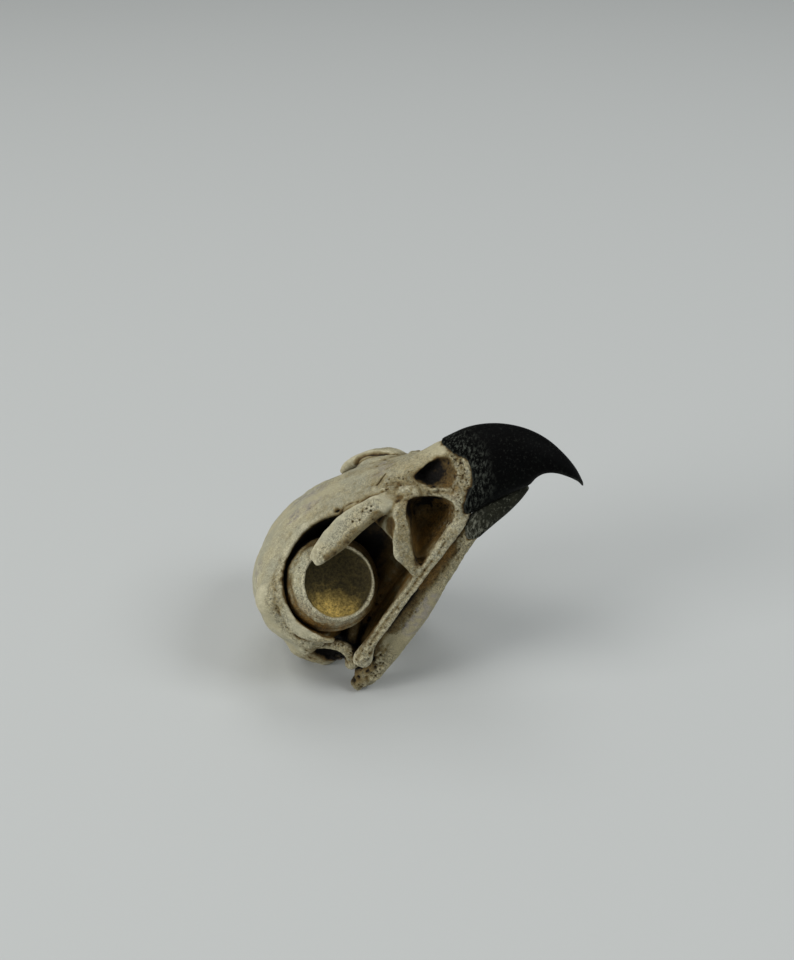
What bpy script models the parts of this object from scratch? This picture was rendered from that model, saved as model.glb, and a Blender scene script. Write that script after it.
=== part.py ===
"""A life-size eagle skull with its horny bill sheaths, lying on the braincase and the ends of the lower jaw.

Everything is modelled in the skull's own frame, in millimetres: +X towards the bill along the cheek bars,
+Y to the bird's left, +Z to the crown. The empty "head_pose" then tips the whole skull back, as it lies on a
table. Paired bones are modelled on the right side and mirrored. Bones that grew together are modelled whole
and sawn apart.
"""

import math

import bmesh
import bpy
from mathutils import Matrix, Vector

MM = 0.001
GAP = 0.3  # between neighbouring bones

# How the skull lies
PITCH = math.radians(56.0)  # the cheek bars' slope above the table
TABLE = -1.0  # height of the table, measured from the skull frame's origin

# Mesh fineness: voxel sizes, and the triangles that pieces are thinned to
SOFT_VOXEL = 1.2
BONE_VOXEL = 0.8
SKULL_TRIANGLES = 2750
JAWS_TRIANGLES = 850
QUADRATE_TRIANGLES = 170
PALATE_TRIANGLES = 200
SHARP_ANGLE = math.radians(40)

# Eyes: the ring of bony plates is a low cone, its bowl is closed, and it sits in a seat of the same shape
EYE_CENTRE = Vector((23.8, -15.2, 27.8))  # the middle of the cone's base
EYE_AXIS = Vector((0.72, -0.69, -0.04)).normalized()
RING_BASE = 15.4
RING_RIM = 11.7
RING_WALL = 1.2
RING_HEIGHT = 9.0
RING_BACK = 7.5
BOWL_DEPTH = 5.5
RING_SEGMENTS = 24
SEAT_CLEARANCE = 1.1
SEAT = ((13.8, 21.0), (14.7, 9.0), (16.3, 4.0), (17.4, 0.0))  # (radius, height) of the room round the ring
HOLLOW_CENTRE = (33, -21.5, 27.5)
HOLLOW_RADII = (19.0, 19.4, 18.2)
HOLLOW_TURN = -14.0

# Where the horn begins, as (x, z) from the top down
UPPER_SHEATH_EDGE = (
    (77.5, 31),
    (79, 26),
    (80.6, 22.5),
    (82.2, 19),
    (80.8, 15.8),
    (78, 13.2),
    (73.5, 12),
    (69.6, 9.6),
    (66, 4),
    (64, -6),
)
LOWER_SHEATH_EDGE = ((69, 10), (65.2, 6.6), (63.4, 4), (64.8, 1.4), (67.6, -1.5), (71, -6))
FRONT = 110  # beyond the bill's tip

# The saw's lines through the fused skull, as (x, z) of both ends and the reach to the sides
SAW_LINES = (
    ((22, 15), (22, 65), 36),  # behind the roof
    ((22, 0), (22, 15.5), 19),  # through the bar under the septum
    ((21.8, 38.6), (57.2, 30.4), 16),  # under the roof
    ((57, 30.2), (57, 48), 20),  # before the roof
    ((45.5, 4), (45.5, 33.6), 20),  # before the septum
)
BONES_BY_MIDDLE = {(6, 28): "braincase", (40, 40): "skull_roof", (34, 23): "orbital_septum", (64, 21): "bill_base"}

BONE = (0.62, 0.56, 0.43)
GREY_BONE = (0.46, 0.42, 0.33)
BOWL_BONE = (0.40, 0.34, 0.22)
HORN = (0.018, 0.019, 0.020)


def millimetres(*xyz):
    return Vector(xyz) * MM


def clear_scene():
    for thing in list(bpy.data.objects):
        bpy.data.objects.remove(thing, do_unlink=True)


def new_collection(name, shown):
    made = bpy.data.collections.new(name)
    made.hide_render = not shown
    bpy.context.scene.collection.children.link(made)
    return made


def new_object(name, mesh):
    made = bpy.data.objects.new(name, mesh)
    bpy.data.collections["eagle_skull"].objects.link(made)
    return made


def new_cutter(mesh):
    made = bpy.data.objects.new("cutter", mesh)
    bpy.data.collections["cutters"].objects.link(made)
    made.hide_render = True
    made.display_type = "WIRE"
    return made


def mesh_of(bm, outward=True):
    mesh = bpy.data.meshes.new("form")
    if outward:
        bmesh.ops.recalc_face_normals(bm, faces=bm.faces)
    bm.to_mesh(mesh)
    bm.free()
    return mesh


# ---------------------------------------------------------------- forms


def turned(turn):
    """A rotation from degrees about X, then Y, then Z."""
    about_x, about_y, about_z = (math.radians(angle) for angle in turn)
    rotation = Matrix.Rotation(about_z, 4, "Z") @ Matrix.Rotation(about_y, 4, "Y")
    return rotation @ Matrix.Rotation(about_x, 4, "X")


def ball(centre, radii, turn=(0, 0, 0)):
    bm = bmesh.new()
    bmesh.ops.create_icosphere(bm, subdivisions=4, radius=1)
    size = Matrix.Diagonal((*[radius * MM for radius in radii], 1))
    bm.transform(Matrix.Translation(millimetres(*centre)) @ turned(turn) @ size)
    return mesh_of(bm)


def between(a, b, c, d, t):
    """The Catmull-Rom curve from b to c, at t from 0 to 1."""
    bend = 2 * a - 5 * b + 4 * c - d
    twist = 3 * b - a - 3 * c + d
    return 0.5 * (2 * b + (c - a) * t + bend * t * t + twist * t**3)


def smooth_stations(stations, steps, closed=False):
    """Stations are tuples of numbers. Each number runs smoothly from one to the next."""
    stations = list(stations)
    if closed:
        ends = [stations[-1], *stations, *stations[:2]]
    else:
        ends = [stations[0], *stations, stations[-1]]
    found = []
    for i in range(len(ends) - 3):
        for step in range(steps):
            found.append(tuple(between(*four, step / steps) for four in zip(*ends[i : i + 4])))
    return found if closed else [*found, stations[-1]]


def rounded(angle, power):
    """The point of a superellipse: power 2 is round, and more is squarer."""
    c, s = math.cos(angle), math.sin(angle)
    return math.copysign(abs(c) ** (2 / power), c), math.copysign(abs(s) ** (2 / power), s)


def lofted(rings):
    """A closed skin over rings of points."""
    bm = bmesh.new()
    rings = [[bm.verts.new(point * MM) for point in ring] for ring in rings]
    sides = len(rings[0])
    for first, second in zip(rings, rings[1:]):
        for k in range(sides):
            j = (k + 1) % sides
            bm.faces.new((first[k], first[j], second[j], second[k]))
    for ring in (rings[0], rings[-1]):
        bm.faces.new(ring)
    return mesh_of(bm)


def limb(stations, side=(0, 1, 0), sides=16, steps=4, power=2.0):
    """A bone along stations of (x, y, z, half width along side, half depth across it)."""
    path = smooth_stations(stations, steps)
    side = Vector(side)
    last = len(path) - 1
    rings = []
    for i, (x, y, z, wide, deep) in enumerate(path):
        along = (Vector(path[min(i + 1, last)][:3]) - Vector(path[max(i - 1, 0)][:3])).normalized()
        across = (side - along * along.dot(side)).normalized()
        up = along.cross(across)
        corners = [rounded(2 * math.pi * k / sides, power) for k in range(sides)]
        rings.append([Vector((x, y, z)) + across * wide * c + up * deep * s for c, s in corners])
    return lofted(rings)


def plank(stations, sides=12, steps=2, power=3.4):
    """A flat bone along stations of (one edge x, y, z, other edge x, y, z, half thickness)."""
    path = smooth_stations(stations, steps)
    rings = []
    for i, station in enumerate(path):
        one, other = Vector(station[:3]), Vector(station[3:6])
        before, after = path[max(i - 1, 0)], path[min(i + 1, len(path) - 1)]
        along = Vector(after[:3]) + Vector(after[3:6]) - Vector(before[:3]) - Vector(before[3:6])
        middle_line, half = (one + other) / 2, (other - one) / 2
        up = along.cross(half).normalized() * station[6]
        corners = [rounded(2 * math.pi * k / sides, power) for k in range(sides)]
        rings.append([middle_line + half * c + up * s for c, s in corners])
    return lofted(rings)


def keel(stations, sides=28, steps=4, taper=0.3, power=2.0, foot_power=3.0):
    """A form on the midline, from stations of (top x, top z, bottom x, bottom z, half width).

    taper narrows each section towards its top, and foot_power squares its lower half.
    """
    rings = []
    for top_x, top_z, low_x, low_z, wide in smooth_stations(stations, steps):
        top, low = Vector((top_x, 0, top_z)), Vector((low_x, 0, low_z))
        middle, half = (top + low) / 2, (top - low) / 2
        ring = []
        for k in range(sides):
            angle = 2 * math.pi * k / sides
            c, s = rounded(angle, power if math.sin(angle) > 0 else foot_power)
            ring.append(middle + half * s + Vector((0, wide * c * (1 - taper * s), 0)))
        rings.append(ring)
    return lofted(rings)


def funnel(rim, target, walls):
    """A tapering plug that opens a hollow in the right side, under a rim of (x, y, z).

    walls are (how far the plug has gone to the target, its size there as a part of the rim's).
    """
    points = [Vector(point) for point in smooth_stations(rim, 2, closed=True)]
    centre = sum(points, Vector()) / len(points)
    inward = Vector(target) - centre
    return lofted([[centre + inward * depth + (point - centre) * size for point in points] for depth, size in walls])


def front_of(edge, grow=0.0):
    """The space in front of an edge of (x, z), across the whole skull. grow moves the edge back."""
    path = smooth_stations(edge, 4)
    outline = []
    for i, (x, z) in enumerate(path):
        after, before = path[min(i + 1, len(path) - 1)], path[max(i - 1, 0)]
        run = Vector((after[0] - before[0], after[1] - before[1])).normalized()
        outline.append((x + run.y * grow, z - run.x * grow))
    outline += [(FRONT, outline[-1][1] - 20), (FRONT, outline[0][1] + 20)]
    return lofted([[Vector((x, y, z)) for x, z in outline] for y in (-30, 30)])


def saw(start, end, reach):
    """A blade as thick as GAP along the line from start to end, (x, z), with this reach to both sides."""
    start, end = Vector((start[0], 0, start[1])), Vector((end[0], 0, end[1]))
    along = end - start
    slope = math.degrees(math.atan2(-along.z, along.x))
    bm = bmesh.new()
    bmesh.ops.create_cube(bm, size=MM)
    size = Matrix.Diagonal((along.length, 2 * reach, GAP, 1))
    bm.transform(Matrix.Translation((start + end) / 2 * MM) @ turned((0, slope, 0)) @ size)
    return mesh_of(bm)


def mirrored(mesh):
    twin = mesh.copy()
    twin.transform(Matrix.Diagonal((1, -1, 1, 1)))
    twin.flip_normals()
    return twin


def both(*meshes):
    found = []
    for mesh in meshes:
        found += [mesh, mirrored(mesh)]
    return found


def joined(meshes):
    bm = bmesh.new()
    for mesh in meshes:
        bm.from_mesh(mesh)
    return mesh_of(bm, outward=False)


# ---------------------------------------------------------------- modifiers


def applied(obj):
    """The object with its modifiers made part of its mesh."""
    bpy.context.view_layer.update()
    graph = bpy.context.evaluated_depsgraph_get()
    made = bpy.data.meshes.new_from_object(obj.evaluated_get(graph))
    obj.modifiers.clear()
    obj.data = made
    return obj


def fused(obj, voxel, passes):
    """Overlapping forms made one skin."""
    step = obj.modifiers.new("fuse", "REMESH")
    step.mode = "VOXEL"
    step.voxel_size = voxel * MM
    soften = obj.modifiers.new("soften", "SMOOTH")
    soften.factor = 0.5
    soften.iterations = passes
    return applied(obj)


def combined(obj, mesh, operation):
    tool = new_cutter(mesh)
    step = obj.modifiers.new("combine", "BOOLEAN")
    step.operation = operation
    step.solver = "EXACT"
    step.object = tool
    applied(obj)
    bpy.data.objects.remove(tool, do_unlink=True)
    return obj


def cut(obj, *meshes):
    for mesh in meshes:
        combined(obj, mesh, "DIFFERENCE")
    return obj


def swollen(mesh, distance):
    """The mesh with its skin moved outwards."""
    tool = new_cutter(mesh.copy())
    step = tool.modifiers.new("swell", "DISPLACE")
    step.mid_level = 0
    step.strength = distance * MM
    applied(tool)
    grown = tool.data
    bpy.data.objects.remove(tool, do_unlink=True)
    return grown


def thinned(obj, triangles):
    obj.data.calc_loop_triangles()
    step = obj.modifiers.new("thin", "DECIMATE")
    step.ratio = min(1.0, triangles / len(obj.data.loop_triangles))
    step.use_collapse_triangulate = True
    return applied(obj)


def islands(mesh):
    """The separate bodies of a mesh as meshes of their own, largest first."""
    bm = bmesh.new()
    bm.from_mesh(mesh)
    left = set(bm.verts)
    groups = []
    while left:
        group, edge_of_group = set(), [left.pop()]
        while edge_of_group:
            v = edge_of_group.pop()
            group.add(v)
            for edge in v.link_edges:
                other = edge.other_vert(v)
                if other in left:
                    left.remove(other)
                    edge_of_group.append(other)
        groups.append({v.index for v in group})
    bm.free()
    groups.sort(key=len, reverse=True)
    found = []
    for group in groups:
        bm = bmesh.new()
        bm.from_mesh(mesh)
        bm.verts.ensure_lookup_table()
        bmesh.ops.delete(bm, geom=[v for v in bm.verts if v.index not in group], context="VERTS")
        found.append(mesh_of(bm, outward=False))
    return found


def largest(obj):
    obj.data = islands(obj.data)[0]
    return obj


# ---------------------------------------------------------------- the skull's forms


def braincase_forms():
    dome = ball((5.9, 0, 29.7), (15.6, 21.6, 20.0), turn=(0, 17, 0))
    temples = ball((8, -13.5, 29.5), (12, 11.5, 13), turn=(0, 10, 0))
    nape = ball((-1.4, -9.6, 21.2), (9.6, 9.4, 9.8))
    hip = ball((4.8, -16.4, 21.5), (9, 6.6, 8.4))
    cheek = ball((9.5, -19, 33), (9, 9.3, 10))
    shoulder = ball((14.5, -15.5, 37.5), (8, 9, 8))
    wall = ball((13.4, -22.4, 39), (7.4, 6.2, 8), turn=(12, 0, 0))
    side = ball((9.5, -22, 27), (6, 7.5, 9))
    base = ball((4.5, 0, 13.2), (11.6, 13, 7.4))
    heel = ball((-4.2, -9.8, 13.4), (6.0, 6.0, 6.0))
    lip = limb([
        (-5.5, -15.8, 18.4, 2.0, 2.0),
        (-2.8, -17.6, 15.4, 1.8, 1.6),
        (1.4, -19.0, 12.0, 1.5, 1.4),
        (5.6, -19.2, 9.4, 1.4, 1.3),
    ])
    return [dome, base, *both(temples, nape, hip, cheek, shoulder, wall, side, heel, lip)]


def roof_forms():
    """The frontal bones, from the bill's hinge back over the eyes."""
    roof = limb(
        [
            (66, 0, 27.2, 7.6, 3.6),
            (61, 0, 30.0, 8.4, 3.8),
            (54, 0, 34.0, 10.0, 3.8),
            (47, 0, 37.6, 11.4, 4.0),
            (40, 0, 40.6, 11.6, 4.0),
            (33, 0, 43.0, 12.2, 4.4),
            (27, 0, 43.8, 14.6, 5.2),
            (22, 0, 43.8, 19.0, 5.9),
            (15, 0, 42.0, 22.0, 8.4),
            (10, 0, 40.4, 21.0, 9.0),
        ],
        sides=24,
        power=2.3,
    )
    rim = limb(
        [
            (45, -11.0, 38.0, 2.0, 2.0),
            (38.7, -10.8, 41.4, 2.2, 2.0),
            (33.6, -11.8, 43.7, 2.2, 2.1),
            (28.6, -14.0, 44.2, 2.4, 2.4),
            (24.0, -18.2, 43.0, 2.8, 2.8),
            (19.6, -22.8, 40.7, 3.0, 3.2),
            (16.0, -26.3, 35.8, 2.9, 3.4),
            (13.8, -28.8, 30.0, 2.6, 3.2),
            (14.8, -29.8, 25.0, 2.2, 2.7),
            (17.6, -30.4, 21.0, 2.0, 2.1),
            (19.8, -30.6, 19.2, 1.8, 1.9),
            (21.2, -30.6, 18.2, 1.1, 1.2),
        ]
    )
    return [roof, *both(rim)]


def face_forms():
    """The side walls of the face, and the hinge that brow and pillar grow from."""
    flank = ball((54, -12.2, 18), (13, 6, 11), turn=(0, -35, -18))
    hinge = ball((61, -8.6, 26.2), (6.0, 4.9, 4.0), turn=(0, 30, 0))
    shelf = plank([
        (61, -5, 29.0, 60.4, -9.6, 28.8, 2.6),
        (57, -6, 32.6, 56.4, -12.0, 32.6, 2.4),
        (53, -7, 35.4, 52.8, -14.4, 35.2, 2.2),
        (50, -8, 37.2, 49.8, -16.0, 37.0, 1.8),
        (47.6, -9, 38.2, 47.8, -16.2, 38.0, 1.2),
    ])
    return both(flank, hinge, shelf)


def bill_form(grow=0.0):
    stations = [
        (46, 37.5, 46, 8.0, 9.5),
        (52, 37.0, 52, 7.0, 11.0),
        (58.5, 35.2, 58, 6.8, 11.6),
        (65.5, 31.8, 64, 7.6, 11.6),
        (73.4, 28.8, 71, 5.4, 11.0),
        (80.0, 26.3, 77, 2.6, 10.1),
        (86.5, 23.5, 82, 0.3, 9.2),
        (91.6, 19.6, 85.9, -1.9, 8.2),
        (95.4, 14.4, 88.4, -2.1, 7.0),
        (97.9, 8.4, 90.8, -3.2, 5.7),
        (98.8, 1.8, 92.5, -5.7, 4.4),
        (98.0, -5.2, 93.4, -9.2, 3.2),
        (96.4, -11.0, 93.6, -13.0, 2.1),
        (93.6, -16.4, 92.4, -16.6, 0.9),
    ]
    return keel([(xt, zt + grow, xl, zl - grow, wide + grow) for xt, zt, xl, zl, wide in stations])


def septum_forms():
    """The thin wall between the eyes, and the bar that it stands on."""
    wall = ball((36, 0, 25), (23, 1.9, 18))
    bar = limb([
        (4, 0, 11.6, 14.0, 6.4),
        (12, 0, 10.8, 13.0, 6.0),
        (20, 0, 10.8, 9.0, 4.8),
        (34, 0, 10.6, 5.0, 3.6),
        (54, 0, 10.6, 5.0, 3.4),
    ])
    return [wall, bar]


def brow_form():
    """The shelf of bone over the eye."""
    return plank([
        (61.0, -7.6, 29.2, 61.0, -11.4, 25.6, 2.2),
        (59.2, -9.8, 31.4, 58.9, -14.0, 27.2, 2.2),
        (56.8, -12.4, 33.9, 57.4, -17.0, 29.2, 2.1),
        (53.3, -14.9, 36.3, 55.3, -19.5, 31.0, 2.0),
        (49.5, -16.7, 38.5, 52.3, -21.5, 32.3, 2.0),
        (45.8, -18.3, 39.7, 48.6, -23.0, 33.2, 1.9),
        (42.6, -20.1, 40.2, 45.4, -24.8, 33.9, 1.8),
        (39.3, -21.9, 40.5, 41.7, -26.0, 35.0, 1.7),
        (36.9, -23.2, 40.4, 38.3, -26.6, 35.9, 1.5),
        (34.9, -24.2, 39.9, 35.2, -26.5, 37.0, 1.1),
    ])


def pillar_form():
    """The flat strut before the eye, from the brow down to the cheek bar."""
    return plank([
        (62.0, -11.6, 27.0, 64.4, -10.4, 23.8, 2.0),
        (60.2, -14.2, 27.0, 62.4, -13.2, 23.8, 2.1),
        (57.6, -16.8, 26.4, 59.9, -16.0, 22.8, 2.0),
        (54.8, -18.0, 24.8, 57.6, -17.0, 20.4, 1.9),
        (51.4, -18.6, 22.2, 54.4, -17.8, 17.2, 1.8),
        (47.8, -19.3, 19.0, 51.5, -18.3, 13.8, 1.7),
        (46.9, -19.6, 15.5, 49.8, -18.6, 11.4, 1.6),
        (45.4, -19.6, 11.0, 50.4, -18.4, 8.6, 1.5),
    ])


def cheek_bar_form():
    return limb(
        [
            (74.5, -5.6, 9.8, 0.9, 1.2),
            (69.2, -9.4, 9.2, 1.3, 1.8),
            (64, -13.0, 9.0, 1.6, 2.1),
            (57, -16.3, 9.3, 1.7, 1.9),
            (47, -19.0, 9.2, 1.5, 1.8),
            (38, -21.0, 8.8, 1.4, 1.7),
            (28, -23.2, 8.6, 1.4, 1.7),
            (20.5, -24.4, 8.2, 1.6, 1.8),
            (16, -25.0, 7.4, 2.0, 2.4),
            (13.2, -25.2, 6.9, 2.3, 2.9),
            (10.9, -25.1, 6.4, 1.8, 2.3),
        ],
        sides=10,
        steps=2,
        power=2.6,
    )


def palate_forms():
    palatine = limb(
        [
            (66, -6.0, 6.4, 4.4, 1.8),
            (58, -7.0, 6.8, 4.6, 1.6),
            (46, -6.8, 7.4, 4.8, 1.5),
            (34, -6.8, 7.6, 4.8, 1.6),
            (24, -6.6, 7.4, 5.0, 1.8),
            (18, -6.8, 7.2, 4.4, 1.8),
        ],
        sides=12,
        steps=2,
    )
    pterygoid = limb(
        [
            (24, -7.5, 7.4, 3.4, 1.7),
            (17, -12.0, 7.0, 3.6, 1.9),
            (12, -16.2, 6.8, 3.2, 2.2),
            (9.5, -17.8, 6.8, 1.6, 1.6),
        ],
        sides=10,
        steps=2,
    )
    web = limb(
        [
            (13, -15.6, 7.0, 6.4, 0.9),
            (24, -15.4, 7.4, 6.6, 0.9),
            (36, -13.0, 7.8, 7.0, 0.9),
            (48, -11.0, 8.0, 7.0, 0.9),
        ],
        sides=12,
        steps=2,
    )
    return [palatine, pterygoid, web]


def lower_jaw_forms():
    """One half, which meets the other at the tip."""
    half = limb(
        [
            (-1.8, -21.0, 1.6, 2.2, 1.6),
            (0.8, -21.2, 1.4, 3.2, 2.8),
            (6.0, -21.3, 1.2, 3.2, 4.0),
            (16, -20.7, 1.8, 1.8, 4.8),
            (32, -18.4, 2.4, 1.6, 4.9),
            (47, -15.4, 3.3, 1.7, 3.7),
            (57, -13.0, 4.1, 1.8, 3.3),
            (64, -11.0, 4.2, 2.0, 3.2),
            (70, -8.6, 3.0, 2.8, 3.4),
            (75.5, -5.6, 1.2, 3.6, 3.3),
            (80, -3.0, -0.3, 4.0, 2.6),
            (83.6, -1.2, -1.5, 3.0, 1.5),
        ],
        power=2.3,
    )
    return [half, ball((76.5, -0.5, -0.4), (7.0, 5.6, 1.8), turn=(0, 18, 0))]


def quadrate_forms():
    stem = limb([
        (4.0, -19.4, 20.0, 2.4, 2.2),
        (8.2, -21.6, 17.2, 1.9, 1.7),
        (10.8, -22.8, 12.6, 2.0, 2.0),
        (9.0, -22.2, 7.2, 2.6, 2.8),
    ])
    foot = ball((8.4, -21.0, 7.4), (4.6, 4.0, 2.6))
    spur = limb([(9.5, -19.5, 10.5, 2.0, 2.2), (14, -15.5, 12.8, 1.4, 1.9), (18, -12.6, 14.0, 1.0, 1.4)])
    return [stem, foot, spur]


# ---------------------------------------------------------------- openings


def eye_turned(profile):
    """A solid turned about the eye's axis, from (radius, height) along its outer side from front to back."""
    bm = bmesh.new()
    verts = [bm.verts.new(millimetres(radius, 0, height)) for radius, height in profile]
    for first, second in zip(verts, verts[1:]):
        bm.edges.new((first, second))
    tool = new_cutter(mesh_of(bm, outward=False))
    spin = tool.modifiers.new("turn", "SCREW")
    spin.axis = "Z"
    spin.steps = RING_SEGMENTS
    spin.render_steps = RING_SEGMENTS
    spin.use_merge_vertices = True
    spin.merge_threshold = 0.00001
    spin.use_normal_calculate = True
    applied(tool)
    mesh = tool.data
    bpy.data.objects.remove(tool, do_unlink=True)
    place = Matrix.Translation(EYE_CENTRE * MM) @ EYE_AXIS.to_track_quat("Z", "Y").to_matrix().to_4x4()
    mesh.transform(place)
    bm = bmesh.new()
    bm.from_mesh(mesh)
    return mesh_of(bm)


def eye_ring_mesh():
    lip = RING_RIM - RING_WALL
    bowl = [(lip * math.sin(a), RING_HEIGHT - BOWL_DEPTH * math.cos(a)) for a in (0, 0.4, 0.8, 1.15, 1.4)]
    wall = [
        (RING_RIM - 0.6, RING_HEIGHT),
        (RING_RIM, RING_HEIGHT - 0.7),
        ((RING_RIM + RING_BASE) / 2 + 0.4, RING_HEIGHT / 2),
        (RING_BASE, 0.0),
    ]
    back = [(RING_BASE * math.cos(a), -RING_BACK * math.sin(a)) for a in (0.35, 0.75, 1.15)]
    return eye_turned([*bowl, *wall, *back, (0, -RING_BACK)])


def eye_seat():
    """The room round the ring, open in front."""
    base, depth = SEAT[-1][0], RING_BACK + SEAT_CLEARANCE
    back = [(base * math.cos(a), -depth * math.sin(a)) for a in (0.35, 0.75, 1.15)]
    return eye_turned([(0, SEAT[0][1]), *SEAT, *back, (0, -depth)])


def eye_hollow():
    return ball(HOLLOW_CENTRE, HOLLOW_RADII, turn=(0, 0, HOLLOW_TURN))


def nostril():
    rim = [
        (67.2, -6.8, 27.1),
        (70.4, -5.8, 26.8),
        (73.2, -5.2, 26.3),
        (75.8, -5.1, 25.2),
        (78.0, -5.4, 23.9),
        (79.2, -6.4, 22.2),
        (78.9, -8.0, 19.8),
        (77.0, -9.4, 18.2),
        (74.1, -10.4, 17.5),
        (71.4, -10.4, 19.3),
        (69.2, -10.0, 21.4),
        (67.4, -8.4, 25.0),
    ]
    return funnel(rim, (69.2, -2.6, 23.8), ((-0.7, 1.1), (0, 1), (0.3, 0.84), (0.65, 0.66), (1, 0.48)))


def face_window():
    """The three-cornered opening between the nostril and the eye."""
    rim = [
        (63.1, -14.0, 25.6),
        (64.9, -12.0, 24.0),
        (67.4, -11.0, 20.6),
        (69.8, -11.5, 17.0),
        (70.1, -12.0, 13.8),
        (68.2, -12.3, 11.4),
        (63.5, -13.0, 10.6),
        (60.5, -14.0, 10.7),
        (57.5, -15.0, 11.0),
        (53.3, -16.5, 11.4),
        (50.0, -18.3, 12.4),
        (53.9, -18.0, 17.2),
        (57.9, -17.0, 21.1),
        (60.2, -15.5, 24.0),
    ]
    return funnel(rim, (56.6, -4.2, 17.0), ((-0.6, 1.12), (0, 1), (0.35, 0.86), (0.7, 0.7), (1, 0.42)))


def ear_opening():
    return ball((5.6, -22.4, 13.4), (6.6, 7.6, 4.4), turn=(0, 30, 0))


def back_shave():
    """Takes the back of the head flatter."""
    return ball((-10.7, -16.0, 36.4), (27, 25, 8), turn=(0, 68, -154))


def under_table():
    bm = bmesh.new()
    bmesh.ops.create_cube(bm, size=1)
    slab = Matrix.Translation(millimetres(0, 0, TABLE - 10)) @ Matrix.Diagonal((0.3, 0.2, 20 * MM, 1))
    bm.transform(Matrix.Rotation(PITCH, 4, "Y") @ slab)
    return mesh_of(bm)


# ---------------------------------------------------------------- bones


def middle(mesh):
    low, high = (Vector([pick(v.co[k] for v in mesh.vertices) for k in range(3)]) for pick in (min, max))
    return (low + high) / 2


def make_skull():
    """The fused skull, ready to be sawn."""
    skull = fused(new_object("skull", joined(braincase_forms())), SOFT_VOXEL, 8)
    cut(skull, *both(back_shave()))
    skull.data = joined([skull.data, *roof_forms(), bill_form(), *septum_forms(), *face_forms()])
    fused(skull, SOFT_VOXEL, 4)
    cut(skull, *both(eye_hollow(), eye_seat(), nostril(), face_window(), ear_opening()))
    skull.data = joined([skull.data, *septum_forms()])
    fused(skull, BONE_VOXEL, 3)
    thinned(skull, SKULL_TRIANGLES)
    return cut(skull, under_table())


def saw_skull(skull):
    """Parts the skull from its horn and into its bones, which their middles tell apart, as (x, z)."""
    sheath = new_object("upper_bill_sheath", skull.data.copy())
    combined(sheath, front_of(UPPER_SHEATH_EDGE), "INTERSECT")
    cut(skull, front_of(UPPER_SHEATH_EDGE, GAP), *[saw(*line) for line in SAW_LINES])
    names = dict(BONES_BY_MIDDLE)
    for mesh in islands(skull.data):
        centre = middle(mesh)
        nearest = min(names, key=lambda spot: (centre - millimetres(spot[0], 0, spot[1])).length)
        new_object(names.pop(nearest), mesh)
    bpy.data.objects.remove(skull, do_unlink=True)


def make_jaws(clear_of):
    """The lower jaw in one, clear of the skull."""
    jaws = fused(new_object("jaws", joined(both(*lower_jaw_forms()))), BONE_VOXEL, 3)
    thinned(jaws, JAWS_TRIANGLES)
    return cut(jaws, clear_of, under_table())


def saw_jaws(jaws):
    sheath = new_object("lower_bill_sheath", jaws.data.copy())
    combined(sheath, front_of(LOWER_SHEATH_EDGE), "INTERSECT")
    cut(jaws, front_of(LOWER_SHEATH_EDGE, GAP))
    for mesh in islands(jaws.data):
        new_object("lower_jaw_right" if middle(mesh).y < 0 else "lower_jaw_left", mesh)
    bpy.data.objects.remove(jaws, do_unlink=True)


def as_it_is(mesh):
    return mesh


def make_paired_bones(skull_room, jaws_room):
    """Each bone ends at the surface of those it grows from, less the gap."""
    for side, placed in (("right", as_it_is), ("left", mirrored)):
        cheek_mesh, brow_mesh = placed(cheek_bar_form()), placed(brow_form())
        cheek_room, brow_room = swollen(cheek_mesh, GAP), swollen(brow_mesh, GAP)
        cheek = cut(new_object("cheek_bar_" + side, cheek_mesh), skull_room)
        brow = cut(new_object("brow_" + side, brow_mesh), skull_room)
        pillar = cut(new_object("pillar_" + side, placed(pillar_form())), skull_room, brow_room, cheek_room)
        quadrate = new_object("quadrate_" + side, placed(joined(quadrate_forms())))
        thinned(fused(quadrate, BONE_VOXEL, 2), QUADRATE_TRIANGLES)
        cut(quadrate, skull_room, jaws_room, cheek_room)
        palate = new_object("palate_" + side, placed(joined(palate_forms())))
        thinned(fused(palate, BONE_VOXEL, 2), PALATE_TRIANGLES)
        cut(palate, skull_room, jaws_room, cheek_room, swollen(quadrate.data, GAP))
        for bone in (cheek, brow, pillar, quadrate, palate):
            largest(bone)
        new_object("eye_ring_" + side, placed(eye_ring_mesh()))


def finish(name, colour, roughness):
    material = bpy.data.materials.new(name)
    material.use_nodes = True
    shader = material.node_tree.nodes["Principled BSDF"]
    shader.inputs["Base Color"].default_value = (*colour, 1)
    shader.inputs["Roughness"].default_value = roughness
    shader.inputs["Metallic"].default_value = 0
    return material


def give_finishes():
    """Every piece has a finish of its own, named for it."""
    for obj in bpy.data.collections["eagle_skull"].objects:
        if "sheath" in obj.name:
            colour, roughness = HORN, 0.45
        elif "ring" in obj.name:
            colour, roughness = BOWL_BONE, 0.7
        elif obj.name.startswith(("cheek", "pillar", "quadrate", "lower_jaw")):
            colour, roughness = GREY_BONE, 0.8
        else:
            colour, roughness = BONE, 0.65
        obj.data.materials.clear()
        obj.data.materials.append(finish(obj.name + "_finish", colour, roughness))
        obj.data.shade_smooth()
        obj.data.set_sharp_from_angle(angle=SHARP_ANGLE)


def lay_on_table():
    """Tips the skull back, with the origin on the table under the middle of its box."""
    bones = list(bpy.data.collections["eagle_skull"].objects)
    pose = bpy.data.objects.new("head_pose", None)
    bpy.data.collections["eagle_skull"].objects.link(pose)
    tip = Matrix.Rotation(-PITCH, 3, "Y")
    reach = [(tip @ v.co).x for bone in bones for v in bone.data.vertices]
    side = [v.co.y for bone in bones for v in bone.data.vertices]
    pose.rotation_euler = (0, -PITCH, 0)
    pose.location = (-(min(reach) + max(reach)) / 2, -(min(side) + max(side)) / 2, -TABLE * MM)
    for bone in bones:
        bone.parent = pose


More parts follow.
